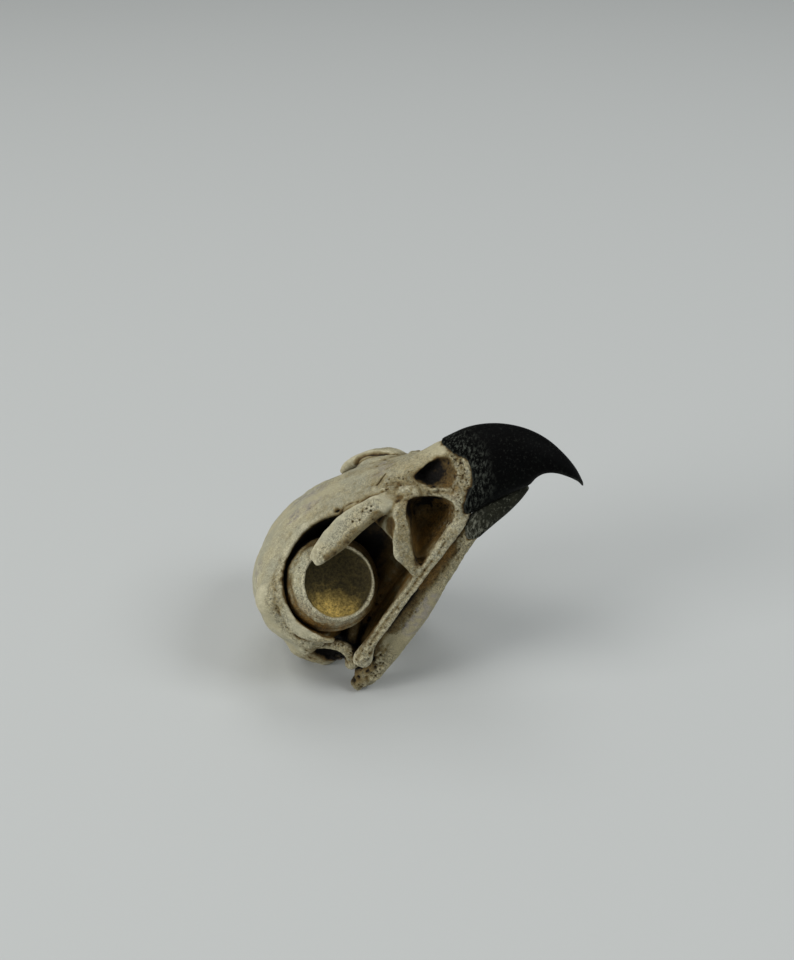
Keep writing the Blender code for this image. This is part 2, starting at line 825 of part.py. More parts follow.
def main():
    clear_scene()
    new_collection("eagle_skull", True)
    new_collection("cutters", False)
    skull = make_skull()
    skull_room = swollen(skull.data, GAP)
    jaws = make_jaws(skull_room)
    jaws_room = swollen(jaws.data, GAP)
    make_paired_bones(skull_room, jaws_room)
    saw_skull(skull)
    saw_jaws(jaws)
    give_finishes()
    lay_on_table()


main()
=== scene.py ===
import math
import random

import bmesh
import bpy
import numpy as np
from mathutils import Matrix, Vector, noise
from mathutils.bvhtree import BVHTree
from mathutils.kdtree import KDTree


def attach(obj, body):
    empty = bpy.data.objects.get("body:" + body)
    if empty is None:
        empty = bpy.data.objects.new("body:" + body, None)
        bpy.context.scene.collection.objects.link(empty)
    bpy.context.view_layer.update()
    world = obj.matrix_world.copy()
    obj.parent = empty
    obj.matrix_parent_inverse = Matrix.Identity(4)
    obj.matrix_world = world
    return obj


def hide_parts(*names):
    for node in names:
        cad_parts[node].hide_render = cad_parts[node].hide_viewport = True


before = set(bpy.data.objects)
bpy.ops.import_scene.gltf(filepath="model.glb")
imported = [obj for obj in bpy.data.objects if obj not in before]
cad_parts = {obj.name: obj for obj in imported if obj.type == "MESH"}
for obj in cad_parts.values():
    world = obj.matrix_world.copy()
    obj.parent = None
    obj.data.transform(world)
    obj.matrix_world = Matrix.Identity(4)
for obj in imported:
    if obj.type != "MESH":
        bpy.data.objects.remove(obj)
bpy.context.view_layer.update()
mm = 0.001

# The skull is modelled in its own frame, in millimetres: +X to the bill along the cheek bars, +Y to the
# bird's left, +Z to the crown
skullPose = {
    "pitch": 56.0,  # degrees it is tipped back as it lies
    "standBack": -13.03,  # mm from its own origin to the middle of the whole skull
    "lift": 1.0,  # mm from the table to its own origin
}
headPose = Matrix.Translation(Vector((skullPose["standBack"], 0, skullPose["lift"])) * mm)
headPose = headPose @ Matrix.Rotation(-math.radians(skullPose["pitch"]), 4, "Y")

cameraView = {
    "elevation": 32.0,
    "azimuth": 8.0,
    "distance": 372.0,  # mm along the view to the target
    "target": (0, -22, 0),  # the rear end of the lower jaw, in the skull's frame
    "targetPixel": (360, 686),
    "focalPixels": 1159.0,
    "imageSize": (794, 960),
    "sensorHeight": 24.0,
    "near": 0.01,
}


def makeCamera(view):
    elevation, azimuth = math.radians(view["elevation"]), math.radians(view["azimuth"])
    flat = Vector((-math.sin(azimuth), math.cos(azimuth), 0)) * math.cos(elevation)
    ahead = flat - Vector((0, 0, math.sin(elevation)))
    right = Vector((math.cos(azimuth), math.sin(azimuth), 0))
    up = right.cross(ahead)
    width, height = view["imageSize"]
    column, row = view["targetPixel"]
    focal = view["focalPixels"]
    ray = ahead + right * (column - width / 2) / focal - up * (row - height / 2) / focal
    data = bpy.data.cameras.new("camera")
    data.sensor_fit = "VERTICAL"
    data.sensor_height = view["sensorHeight"]
    data.lens = view["sensorHeight"] * focal / height
    data.clip_start = view["near"]
    camera = bpy.data.objects.new("camera", data)
    bpy.context.scene.collection.objects.link(camera)
    camera.location = headPose @ (Vector(view["target"]) * mm) - ray * view["distance"] * mm
    camera.rotation_euler = Matrix((right, up, -ahead)).transposed().to_euler()
    bpy.context.scene.camera = camera


makeCamera(cameraView)
print("camera placed")


# Shapes: each comes back as a mesh in the skull's frame, from sizes in millimetres


def meshFrom(bm):
    mesh = bpy.data.meshes.new("shape")
    bm.to_mesh(mesh)
    bm.free()
    return mesh


def turned(turn):
    aboutX, aboutY, aboutZ = (math.radians(angle) for angle in turn)
    rotation = Matrix.Rotation(aboutZ, 4, "Z") @ Matrix.Rotation(aboutY, 4, "Y")
    return rotation @ Matrix.Rotation(aboutX, 4, "X")


def ball(centre, radii, turn=(0, 0, 0)):
    bm = bmesh.new()
    size = Matrix.Diagonal((*(radius * mm for radius in radii), 1))
    place = Matrix.Translation(Vector(centre) * mm) @ turned(turn) @ size
    bmesh.ops.create_icosphere(bm, subdivisions=4, radius=1, matrix=place)
    return meshFrom(bm)


def between(a, b, c, d, t):
    bend = 2 * a - 5 * b + 4 * c - d
    twist = 3 * b - a - 3 * c + d
    return 0.5 * (2 * b + (c - a) * t + bend * t * t + twist * t**3)


def smoothStations(stations, steps, closed=False):
    stations = list(stations)
    ends = [stations[-1], *stations, *stations[:2]] if closed else [stations[0], *stations, stations[-1]]
    found = []
    for i in range(len(ends) - 3):
        for step in range(steps):
            found.append(tuple(between(*four, step / steps) for four in zip(*ends[i : i + 4])))
    return found if closed else [*found, stations[-1]]


def rounded(angle, power):
    c, s = math.cos(angle), math.sin(angle)
    return math.copysign(abs(c) ** (2 / power), c), math.copysign(abs(s) ** (2 / power), s)


def lofted(frames, sides, placeAt):
    # placeAt gives the point of a frame at an angle round it
    bm = bmesh.new()
    rings = []
    for section in frames:
        verts = bmesh.ops.create_circle(bm, segments=sides, radius=1)["verts"]
        for v in verts:
            v.co = placeAt(math.atan2(v.co.y, v.co.x), *section) * mm
        rings.append(set(verts))
    for first, second in zip(rings, rings[1:]):
        edges = {edge for v in first for edge in v.link_edges if edge.other_vert(v) in first}
        edges |= {edge for v in second for edge in v.link_edges if edge.other_vert(v) in second}
        bmesh.ops.bridge_loops(bm, edges=list(edges))
    bmesh.ops.holes_fill(bm, edges=bm.edges, sides=0)
    bmesh.ops.recalc_face_normals(bm, faces=bm.faces)
    return meshFrom(bm)


def ovalOf(power):
    # 2 is an ellipse, and more is nearer to a rectangle
    def placeAt(angle, centre, across, up):
        c, s = rounded(angle, power)
        return centre + across * c + up * s

    return placeAt


def limb(stations, sides=18, steps=5, power=2.0):
    # stations are (x, y, z, half width from side to side, half depth across it)
    path = smoothStations(stations, steps)
    side, last, frames = Vector((0, 1, 0)), len(path) - 1, []
    for i, (x, y, z, wide, deep) in enumerate(path):
        along = (Vector(path[min(i + 1, last)][:3]) - Vector(path[max(i - 1, 0)][:3])).normalized()
        across = (side - along * along.dot(side)).normalized()
        frames.append((Vector((x, y, z)), across * wide, along.cross(across) * deep))
    return lofted(frames, sides, ovalOf(power))


def plank(stations, sides=24, steps=5, power=3.4):
    # stations are (one edge x, y, z, other edge x, y, z, half thickness)
    path = smoothStations(stations, steps)
    last, frames = len(path) - 1, []
    for i, station in enumerate(path):
        one, other = Vector(station[:3]), Vector(station[3:6])
        before, after = path[max(i - 1, 0)], path[min(i + 1, last)]
        along = Vector(after[:3]) + Vector(after[3:6]) - Vector(before[:3]) - Vector(before[3:6])
        half = (other - one) / 2
        frames.append(((one + other) / 2, half, along.cross(half).normalized() * station[6]))
    return lofted(frames, sides, ovalOf(power))


def keel(stations, sides=36, steps=5, taper=0.3, power=2.0, footPower=3.0):
    # stations are (top x, top z, bottom x, bottom z, half width), and the section narrows to its top
    def placeAt(angle, middle, half, wide):
        c, s = rounded(angle, power if math.sin(angle) > 0 else footPower)
        return middle + half * s + Vector((0, wide * c * (1 - taper * s), 0))

    frames = []
    for topX, topZ, lowX, lowZ, wide in smoothStations(stations, steps):
        top, low = Vector((topX, 0, topZ)), Vector((lowX, 0, lowZ))
        frames.append(((top + low) / 2, (top - low) / 2, wide))
    return lofted(frames, sides, placeAt)


def swollen(stations, proud):
    return [(tx, tz + proud, lx, lz - proud, wide + proud) for tx, tz, lx, lz, wide in stations]


def funnel(rim, target, walls, steps=4):
    # opens a hollow under a rim of (x, y, z): walls are (how far to the target, size of the rim there)
    bm = bmesh.new()
    points = [Vector(point) * mm for point in smoothStations(rim, steps, closed=True)]
    middle = sum(points, Vector()) / len(points)
    inward = Vector(target) * mm - middle
    face = bm.faces.new([bm.verts.new(point) for point in points])
    reached, size = 0.0, 1.0
    for depth, width in walls:
        if depth != walls[0][0]:
            face = bmesh.ops.extrude_discrete_faces(bm, faces=[face])["faces"][0]
        spot = Matrix.Translation(-(middle + inward * reached))
        bmesh.ops.scale(bm, vec=Vector((1, 1, 1)) * (width / size), space=spot, verts=face.verts)
        bmesh.ops.translate(bm, vec=inward * (depth - reached), verts=face.verts)
        reached, size = depth, width
    bmesh.ops.holes_fill(bm, edges=bm.edges, sides=0)
    bmesh.ops.recalc_face_normals(bm, faces=bm.faces)
    return meshFrom(bm)


def frontOf(edge, halfWidth=30, front=112, spare=20):
    # all that lies in front of an edge of (x, z)
    outline = smoothStations(edge, 6)
    outline += [(front, outline[-1][1] - spare), (front, outline[0][1] + spare)]
    bm = bmesh.new()
    face = bm.faces.new([bm.verts.new(Vector((x, -halfWidth, z)) * mm) for x, z in outline])
    far = bmesh.ops.extrude_face_region(bm, geom=[face])["geom"]
    far = [v for v in far if isinstance(v, bmesh.types.BMVert)]
    bmesh.ops.translate(bm, vec=Vector((0, 2 * halfWidth, 0)) * mm, verts=far)
    bmesh.ops.recalc_face_normals(bm, faces=bm.faces)
    return meshFrom(bm)


def mirrored(mesh):
    twin = mesh.copy()
    twin.transform(Matrix.Diagonal((1, -1, 1, 1)))
    twin.flip_normals()
    return twin


def both(*meshes):
    return [found for mesh in meshes for found in (mesh, mirrored(mesh))]


def onSide(name, mesh, side):
    # a right piece as it is, or a left one mirrored
    return newPiece(name + ("Right" if side < 0 else "Left"), mesh if side < 0 else mirrored(mesh))


def joined(meshes):
    bm = bmesh.new()
    for mesh in meshes:
        bm.from_mesh(mesh)
    return meshFrom(bm)


# Pieces


def newPiece(name, mesh):
    piece = bpy.data.objects.new(name, mesh)
    mesh.name = name
    bpy.context.scene.collection.objects.link(piece)
    return piece


def settle(piece):
    bpy.context.view_layer.update()
    graph = bpy.context.evaluated_depsgraph_get()
    made = bpy.data.meshes.new_from_object(piece.evaluated_get(graph))
    piece.modifiers.clear()
    piece.data = made
    made.name = piece.name
    return piece


def fuse(piece, voxel, passes):
    step = piece.modifiers.new("fuse", "REMESH")
    step.mode = "VOXEL"
    step.voxel_size = voxel * mm
    soften = piece.modifiers.new("soften", "SMOOTH")
    soften.factor = 0.5
    soften.iterations = passes
    return settle(piece)


def combine(piece, mesh, operation):
    tool = newPiece("tool", mesh)
    step = piece.modifiers.new("combine", "BOOLEAN")
    step.operation = operation
    step.solver = "EXACT"
    step.object = tool
    settle(piece)
    bpy.data.objects.remove(tool, do_unlink=True)


def thin(piece, triangles):
    piece.data.calc_loop_triangles()
    step = piece.modifiers.new("thin", "DECIMATE")
    step.ratio = min(1.0, triangles / len(piece.data.loop_triangles))
    settle(piece)


# Sculpting: points are moved along their normals, in millimetres


def pointsOf(mesh):
    flat = np.zeros(len(mesh.vertices) * 3)
    mesh.vertices.foreach_get("co", flat)
    return flat.reshape(-1, 3) / mm


def normalsOf(mesh):
    flat = np.zeros(len(mesh.vertices) * 3)
    mesh.vertex_normals.foreach_get("vector", flat)
    return flat.reshape(-1, 3)


def raisePoints(mesh, heights):
    moved = pointsOf(mesh) + normalsOf(mesh) * heights[:, None]
    mesh.vertices.foreach_set("co", (moved * mm).ravel())
    mesh.update()


def rightSide(points):
    # both sides carry the same marks, so they are given for the right side alone
    return points * (1, 0, 1) - np.abs(points) * (0, 1, 0)


def distanceToLine(points, line):
    best = np.full(len(points), 1e9)
    line = [np.array(point, float) for point in line]
    for a, b in zip(line, line[1:]) if len(line) > 1 else [(line[0], line[0] + 1e-6)]:
        run = b - a
        t = np.clip((points - a) @ run / (run @ run), 0, 1)
        best = np.minimum(best, np.linalg.norm(points - a - t[:, None] * run, axis=1))
    return best


def bumpAlong(points, line, width):
    return np.exp(-((distanceToLine(points, line) / width) ** 2))


def noiseAt(points, size, offset=0.0):
    shift = Vector((offset, offset * 0.7, -offset))
    return np.array([noise.noise(Vector(p) / size + shift) for p in points])


def lumpsAt(points, lumps, seed):
    # lumps are (size, height)
    return sum(noiseAt(points, size, seed) * height for size, height in lumps)


def setMask(mesh, name, values):
    if name in mesh.attributes:
        mesh.attributes.remove(mesh.attributes[name])
    layer = mesh.attributes.new(name, "FLOAT", "POINT")
    layer.data.foreach_set("value", np.clip(values, 0, 1).astype(np.float32))


def neighbourMean(mesh, values):
    ends = np.zeros(len(mesh.edges) * 2, int)
    mesh.edges.foreach_get("vertices", ends)
    a, b = ends.reshape(-1, 2).T
    count = np.bincount(a, minlength=len(values)) + np.bincount(b, minlength=len(values))
    columns = values.reshape(len(values), -1).T
    sums = [np.bincount(a, c[b], len(values)) + np.bincount(b, c[a], len(values)) for c in columns]
    return (np.array(sums).T / np.maximum(count, 1)[:, None]).reshape(values.shape)


def spread(mesh, values, passes):
    for _ in range(passes):
        values = 0.5 * values + 0.5 * neighbourMean(mesh, values)
    return values


def ridgesOf(mesh, passes=2, gain=6):
    # 0.5 is flat, more is an edge that stands out and less is a crease
    points = pointsOf(mesh)
    lean = ((points - neighbourMean(mesh, points)) * normalsOf(mesh)).sum(axis=1)
    return 0.5 + spread(mesh, lean, passes) * gain


shading = {
    "samples": 16000,  # on a piece of fullPoints or more, and fewer on a smaller one
    "fullPoints": 90000,
    "leastShare": 0.15,
    "rays": 24,
    "reach": 20.0,  # mm
    "start": 0.15,  # mm off the surface
    "fade": 0.7,  # how much less a far wall shades than a near one
    "turn": 2.399963,  # radians from ray to ray, the golden angle
    "neighbours": 3,  # how many samples each point takes its shade from
    "nearest": 0.05,  # mm, so that no sample counts for all
    "passes": 3,
    "seed": 3,
}
pitting = {
    "sizes": (0.5, 1),  # the least and most of the widest size
    "crowd": 1.6,  # more makes more of them small
    "depths": (0.3, 1),
    "roundness": 1.5,
}


def shadeOf(mesh, tree):
    # how closed in each point is, from 0 in the open to 1 deep in a hollow
    chance, rays, reach = random.Random(shading["seed"]), shading["rays"], shading["reach"]
    points, normals = pointsOf(mesh), normalsOf(mesh)
    share = min(1.0, len(points) / shading["fullPoints"])
    samples = int(shading["samples"] * max(share, shading["leastShare"]))
    chosen = chance.sample(range(len(points)), min(samples, len(points)))
    around = []
    for k in range(rays):
        lift, angle = math.sqrt((k + 0.5) / rays), k * shading["turn"]
        flat = math.sqrt(1 - lift * lift)
        around.append((flat * math.cos(angle), flat * math.sin(angle), lift))
    finder, found = KDTree(len(chosen)), np.zeros(len(chosen))
    for place, index in enumerate(chosen):
        normal, start = Vector(normals[index]), Vector(points[index])
        outward = normal.to_track_quat("Z", "Y").to_matrix()
        origin, closed = (start + normal * shading["start"]) * mm, 0.0
        for direction in around:
            hit = tree.ray_cast(origin, outward @ Vector(direction), reach * mm)
            if hit[0] is not None:
                closed += 1 - shading["fade"] * hit[3] / (reach * mm)
        found[place] = closed / rays
        finder.insert(start, place)
    finder.balance()
    shade = np.zeros(len(points))
    for index, point in enumerate(points):
        near = finder.find_n(Vector(point), shading["neighbours"])
        weights = [1 / (distance + shading["nearest"]) for _, _, distance in near]
        shade[index] = sum(found[place] * w for (_, place, _), w in zip(near, weights)) / sum(weights)
    return spread(mesh, shade, shading["passes"])


def pitsOn(mesh, marks, seed):
    # each mark is (line, reach round it, number, widest, deepest): small holes strewn along a line
    chance = random.Random(seed)
    points = pointsOf(mesh)
    finder = KDTree(len(points))
    for index, point in enumerate(points):
        finder.insert(Vector(point), index)
    finder.balance()
    dents = np.zeros(len(points))
    for line, reach, number, widest, deepest in marks:
        near = np.flatnonzero(distanceToLine(rightSide(points), line) < reach)
        for _ in range(number):
            spot = Vector(points[near[chance.randrange(len(near))]])
            size = widest * chance.uniform(*pitting["sizes"]) ** pitting["crowd"]
            depth = deepest * chance.uniform(*pitting["depths"])
            for _, index, distance in finder.find_range(spot, size):
                dent = depth * (1 - (distance / size) ** 2) ** pitting["roundness"]
                dents[index] = max(dents[index], dent)
    return dents


# The skull: solid forms are fused, hollowed, and joined by the thin bones, then sculpted

braincase = {
    "sides": ("temple", "nape", "hip", "cheek", "shoulder", "wall", "side", "heel"),
    "dome": ((5.9, 0, 29.7), (15.4, 21.5, 19.8), (0, 17, 0)),
    "temple": ((8, -13.5, 29.5), (12, 11.5, 13), (0, 10, 0)),
    "nape": ((-1.4, -9.6, 21.2), (9.6, 9.4, 9.8)),
    "hip": ((4.8, -16.4, 21.5), (9, 6.6, 8.4)),
    "cheek": ((9.5, -19, 33), (9, 9.3, 10)),
    "shoulder": ((14.5, -15.5, 37.5), (8, 9, 8)),
    "wall": ((13.4, -22.4, 39), (7.4, 6.2, 8), (12, 0, 0)),
    "side": ((9.5, -22, 27), (6, 7.5, 9)),
    "base": ((4.5, 0, 13.2), (11.6, 13, 7.4)),
    "heel": ((-4.2, -9.8, 13.4), (6, 6, 6)),
    "shave": ((-10.7, -16, 36.4), (27, 25, 8), (0, 68, -154)),  # takes the back of the head flatter
    "lip": [
        (-5.5, -15.8, 18.4, 2, 2), (-2.8, -17.6, 15.4, 1.8, 1.6), (1.4, -19, 12, 1.5, 1.4),
        (5.6, -19.2, 9.4, 1.4, 1.3),
    ],
}

roof = {
    "plate": [
        (66, 0, 27.2, 7.6, 3.6), (61, 0, 30, 8.4, 3.8), (54, 0, 34, 10, 3.8),
        (47, 0, 37.6, 11.4, 4), (40, 0, 40.6, 11.6, 4), (33, 0, 43, 12.2, 4.4),
        (27, 0, 43.8, 14.6, 5.2), (22, 0, 43.8, 19, 5.9), (15, 0, 42, 22, 8.4),
        (10, 0, 40.4, 21, 9),
    ],
    "orbitRim": [
        (45, -11, 38, 2, 2), (38.7, -10.8, 41.4, 2.2, 2), (33.6, -11.8, 43.7, 2.2, 2.1),
        (28.6, -14, 44.2, 2.4, 2.4), (24, -18.2, 43, 2.8, 2.8), (19.6, -22.8, 40.7, 3, 3.2),
        (16, -26.3, 35.8, 2.9, 3.4), (13.8, -28.8, 30, 2.6, 3.2), (14.8, -29.8, 25, 2.2, 2.7),
        (17.4, -30.4, 21.2, 2.1, 2.2), (18.9, -30.5, 19.9, 2, 2),
    ],
}

bill = {
    "underSheath": 0.3,  # how far the bone lies under the horn's surface
    "keel": [
        (46, 37.5, 46, 8, 9.5), (52, 37, 52, 7, 11), (58.5, 35.2, 58, 6.8, 11.6),
        (65.5, 31.8, 64, 7.6, 11.6), (73.4, 28.6, 71, 5.4, 11), (80, 26, 77, 2.6, 10.1),
        (86.4, 23.1, 82, 0.3, 9.2), (91.3, 19.2, 85.9, -1.9, 8.2), (95.1, 14.1, 88.4, -2.1, 7),
        (97.6, 8.2, 90.8, -3.2, 5.7), (98.5, 1.8, 92.5, -5.7, 4.4), (97.7, -5, 93.4, -9.2, 3.2),
        (96, -10.8, 93.6, -13, 2.1), (93.5, -15.8, 92.5, -16, 0.9),
    ],
    "nostril": [
        (67.2, -6.8, 27.1), (70.4, -5.8, 26.8), (73.2, -5.2, 26.3), (75.8, -5.1, 25.2),
        (78, -5.4, 23.9), (79.9, -6.6, 21.7), (79.5, -8.4, 19.1), (77.4, -9.8, 17.5),
        (74.1, -10.4, 17.5), (71.4, -10.4, 19.3), (69.2, -10, 21.4), (67.4, -8.4, 25),
    ],
    "nostrilEnd": (69.2, -2.6, 23.8),
    "nostrilWalls": [(-0.7, 1.1), (0, 1), (0.3, 0.84), (0.65, 0.66), (1, 0.48)],
    "window": [
        (63.1, -14, 25.6), (64.9, -12, 24), (67.4, -11, 20.6), (69.8, -11.5, 17),
        (70.1, -12, 13.8), (68.2, -12.3, 11.4), (63.5, -13, 10.6), (60.5, -14, 10.7),
        (57.5, -15, 11), (53.3, -16.5, 11.4), (50, -18.3, 12.4), (53.9, -18, 17.2),
        (57.9, -17, 21.1), (60.2, -15.5, 24),
    ],
    "windowEnd": (56.6, -4.2, 17),
    "windowWalls": [(-0.6, 1.12), (0, 1), (0.35, 0.86), (0.7, 0.7), (1, 0.42)],
}

thinBones = {
    "septum": ((36, 0, 25), (23, 1.9, 18)),
    "bar": [
        (4, 0, 11.6, 14, 6.4), (12, 0, 10.8, 13, 6), (20, 0, 10.8, 9, 4.8), (34, 0, 10.6, 5, 3.6),
        (54, 0, 10.6, 5, 3.4),
    ],
    "flank": ((54, -12.2, 18), (13, 6, 11), (0, -35, -18)),
    "brow": [
        (61, -7.6, 29.2, 61, -11.4, 25.6, 2.2), (59.2, -9.8, 31.4, 58.9, -14, 27.2, 2.2),
        (56.8, -12.4, 33.9, 57.4, -17, 29.2, 2.1), (53.3, -14.9, 36.3, 55.3, -19.5, 31, 2),
        (49.5, -16.7, 38.5, 52.3, -21.5, 32.3, 2), (45.8, -18.3, 39.7, 48.6, -23, 33.2, 1.9),
        (42.6, -20.1, 40.2, 45.4, -24.8, 33.9, 1.8), (39.3, -21.9, 40.5, 41.7, -26, 35, 1.7),
        (36.9, -23.2, 40.4, 38.3, -26.6, 35.9, 1.5), (34.9, -24.2, 39.9, 35.2, -26.5, 37, 1.1),
    ],
    "shelf": [
        (61, -5, 29, 60.4, -9.6, 28.8, 2.6), (57, -6, 32.6, 56.4, -12, 32.6, 2.4),
        (53, -7, 35.4, 52.8, -14.4, 35.2, 2.2), (50, -8, 37.2, 49.8, -16, 37, 1.8),
        (47.6, -9, 38.2, 47.8, -16.2, 38, 1.2),
    ],
    "pillar": [
        (62, -11.6, 27, 64.4, -10.4, 23.8, 2), (60.2, -14.2, 27, 62.4, -13.2, 23.8, 2.1),
        (57.6, -16.8, 26.4, 59.9, -16, 22.8, 2), (54.8, -18, 24.8, 57.6, -17, 20.4, 1.9),
        (51.4, -18.6, 22.2, 54.4, -17.8, 17.2, 1.8), (47.8, -19.3, 19, 51.5, -18.3, 13.8, 1.7),
        (46.9, -19.6, 15.5, 49.8, -18.6, 11.4, 1.6), (45.4, -19.6, 11, 50.4, -18.4, 8.6, 1.5),
    ],
    "hinge": ((61, -8.6, 26.2), (6, 4.9, 4), (0, 30, 0)),
    "cheekBar": [
        (74.5, -5.6, 9.8, 0.9, 1.2), (69.2, -9.4, 9.2, 1.3, 1.8), (64, -13, 9, 1.6, 2.1),
        (57, -16.3, 9.3, 1.7, 1.9), (47, -19, 9.2, 1.5, 1.8), (38, -21, 8.8, 1.4, 1.7),
        (28, -23.2, 8.6, 1.4, 1.7), (20.5, -24.4, 8.2, 1.6, 1.8), (16, -25, 7.4, 2, 2.4),
        (13.2, -25.2, 6.9, 2.3, 2.9), (10.9, -25.1, 6.4, 1.8, 2.3),
    ],
    "palatine": [
        (66, -6, 6.4, 4.4, 1.8), (58, -7, 6.8, 4.6, 1.6), (46, -6.8, 7.4, 4.8, 1.5),
        (34, -6.8, 7.6, 4.8, 1.6), (24, -6.6, 7.4, 5, 1.8), (18, -6.8, 7.2, 4.4, 1.8),
    ],
    "pterygoid": [
        (24, -7.5, 7.4, 3.4, 1.7), (17, -12, 7, 3.6, 1.9), (12, -16.2, 6.8, 3.2, 2.2),
        (9.5, -17.8, 6.8, 1.6, 1.6),
    ],
    "web": [
        (4, -11, 7.6, 6, 1.2), (13, -15.6, 7, 6.6, 0.9), (24, -15.4, 7.4, 7, 0.9),
        (36, -13, 7.8, 7, 0.9), (48, -11, 8, 7, 0.9),
    ],
}

eye = {
    "centre": (23.8, -15.2, 27.8),  # the middle of the cone's base
    "axis": (0.72, -0.69, -0.04),
    "base": 15.2,
    "rim": 11.6,
    "height": 9.0,
    "back": 7.5,
    "bowlDepth": 5.5,
    "clearance": 1.0,  # between the ring's back and its seat
    "seatFront": 12,  # how far the seat's cut runs out in front of the ring
    "seat": [(13.8, 21), (14.7, 9), (16.3, 4.4), (16.2, 3.4), (15.7, 3), (15.7, 0)],  # (radius, height)
    "hollow": ((33, -21.5, 27.5), (19, 19.4, 18.2), (0, 0, -14)),
}

ear = {
    "opening": ((5.6, -22.4, 13.8), (6.7, 7.6, 4.8), (0, 30, 0)),
    "floor": ((2.6, -12.8, 12), (6.4, 4, 4)),
}

sheathEdges = {
    "upper": [
        (77.5, 31), (79, 26), (80.6, 22.5), (82.2, 19), (80.8, 15.8), (78, 13.2), (73.5, 12),
        (69.6, 9.6), (66, 4), (64, -6),
    ],
    "lower": [(69, 10), (65.2, 6.6), (63.4, 4), (64.8, 1.4), (67.6, -1.5), (71, -6)],
}

skullSkin = {
    "formVoxel": 0.9,
    "lumpPasses": 34,
    "formPasses": 6,
    "carvedVoxel": 0.55,
    "carvedPasses": 5,
    "voxel": 0.38,
    "passes": 3,
    "triangles": 186000,
    "underHorn": 1.5,  # how far the bone runs on under the sheath
}


def eyePlace():
    axis = Vector(eye["axis"]).normalized()
    return Matrix.Translation(Vector(eye["centre"]) * mm) @ axis.to_track_quat("Z", "Y").to_matrix().to_4x4()


def turnedOnEye(profile, steps):
    # profile is (radius, height) from the middle of the front to the middle of the back
    bm = bmesh.new()
    verts = [bm.verts.new(Vector((radius, 0, height)) * mm) for radius, height in profile]
    edges = [bm.edges.new(pair) for pair in zip(verts, verts[1:])]
    whole = 2 * math.pi
    bmesh.ops.spin(bm, geom=verts + edges, axis=(0, 0, 1), angle=whole, steps=steps, use_merge=True)
    bmesh.ops.remove_doubles(bm, verts=bm.verts, dist=0.001 * mm)
    bmesh.ops.recalc_face_normals(bm, faces=bm.faces)
    bmesh.ops.transform(bm, matrix=eyePlace(), verts=bm.verts)
    return meshFrom(bm)


def eyeSeat():
    depth = eye["back"] + eye["clearance"]
    front = [(0, eye["height"] + eye["seatFront"]), *eye["seat"]]
    base = eye["seat"][-1][0]
    back = [(base * math.cos(a), -depth * math.sin(a)) for a in (0.2, 0.4, 0.6, 0.8, 1, 1.2, 1.4)]
    return turnedOnEye([*front, *back, (0, -depth)], steps=64)


def shortened(outline, forward):
    return [(x + forward, z) for x, z in outline]


def makeSkull():
    lumps = [ball(*braincase["dome"]), ball(*braincase["base"])]
    lumps += both(*(ball(*braincase[name]) for name in braincase["sides"]))
    skull = fuse(newPiece("skull", joined(lumps)), skullSkin["formVoxel"], skullSkin["lumpPasses"])
    combine(skull, joined(both(ball(*braincase["shave"]))), "DIFFERENCE")
    solids = both(limb(braincase["lip"]), limb(roof["orbitRim"]), ball(*thinBones["flank"]))
    solids += [limb(roof["plate"], sides=36, power=2.3), keel(swollen(bill["keel"], -bill["underSheath"]))]
    middle = [ball(*thinBones["septum"]), limb(thinBones["bar"])]
    skull.data = joined([skull.data, *solids, *middle])
    fuse(skull, skullSkin["formVoxel"], skullSkin["formPasses"])
    for opening in (ball(*eye["hollow"]), eyeSeat(), ball(*ear["opening"])):
        combine(skull, joined(both(opening)), "DIFFERENCE")
    thick = [plank(thinBones["pillar"]), plank(thinBones["shelf"])]
    thick += [ball(*thinBones["hinge"]), ball(*ear["floor"])]
    skull.data = joined([skull.data, *middle, *both(*thick)])
    fuse(skull, skullSkin["carvedVoxel"], skullSkin["carvedPasses"])
    for name in ("window", "nostril"):
        opening = funnel(bill[name], bill[name + "End"], bill[name + "Walls"])
        combine(skull, joined(both(opening)), "DIFFERENCE")
    slender = [plank(thinBones["brow"]), limb(thinBones["cheekBar"], steps=6, power=2.8)]
    slender += [limb(thinBones[name], steps=6) for name in ("palatine", "pterygoid", "web")]
    skull.data = joined([skull.data, middle[0], *both(*slender)])
    fuse(skull, skullSkin["voxel"], skullSkin["passes"])
    combine(skull, frontOf(shortened(sheathEdges["upper"], skullSkin["underHorn"])), "DIFFERENCE")
    return skull


# Marks are given for the right side: grooves and ridges are (line, width, how deep or high)

barLine = [
    (63.1, -16, 9.3), (55.4, -18.5, 9.3), (49.2, -20, 9.2), (37.9, -22.4, 9.2), (27.8, -24.6, 9),
    (19.7, -26.1, 8.3), (13.7, -27.4, 7.8),
]
strapLine = [
    (24, -21, 45.2), (18.5, -26, 42.4), (15.3, -28.1, 39.8), (11.1, -28.7, 33.6), (9.5, -29.1, 27),
    (15.5, -31, 22),
]
browLine = [
    (57, -17.3, 33.7), (52.2, -20.8, 35.9), (48.3, -22.7, 36.6), (44, -25.3, 36.8),
    (39.5, -26.8, 37.1),
]
pillarLine = [(63, -12.5, 26), (60, -18.3, 23.8), (53.6, -19.8, 19.2), (48, -20, 13)]
rearLine = [(-8, -12, 19), (-3, -17.5, 15.5), (3, -20.5, 17), (6, -24.5, 23)]

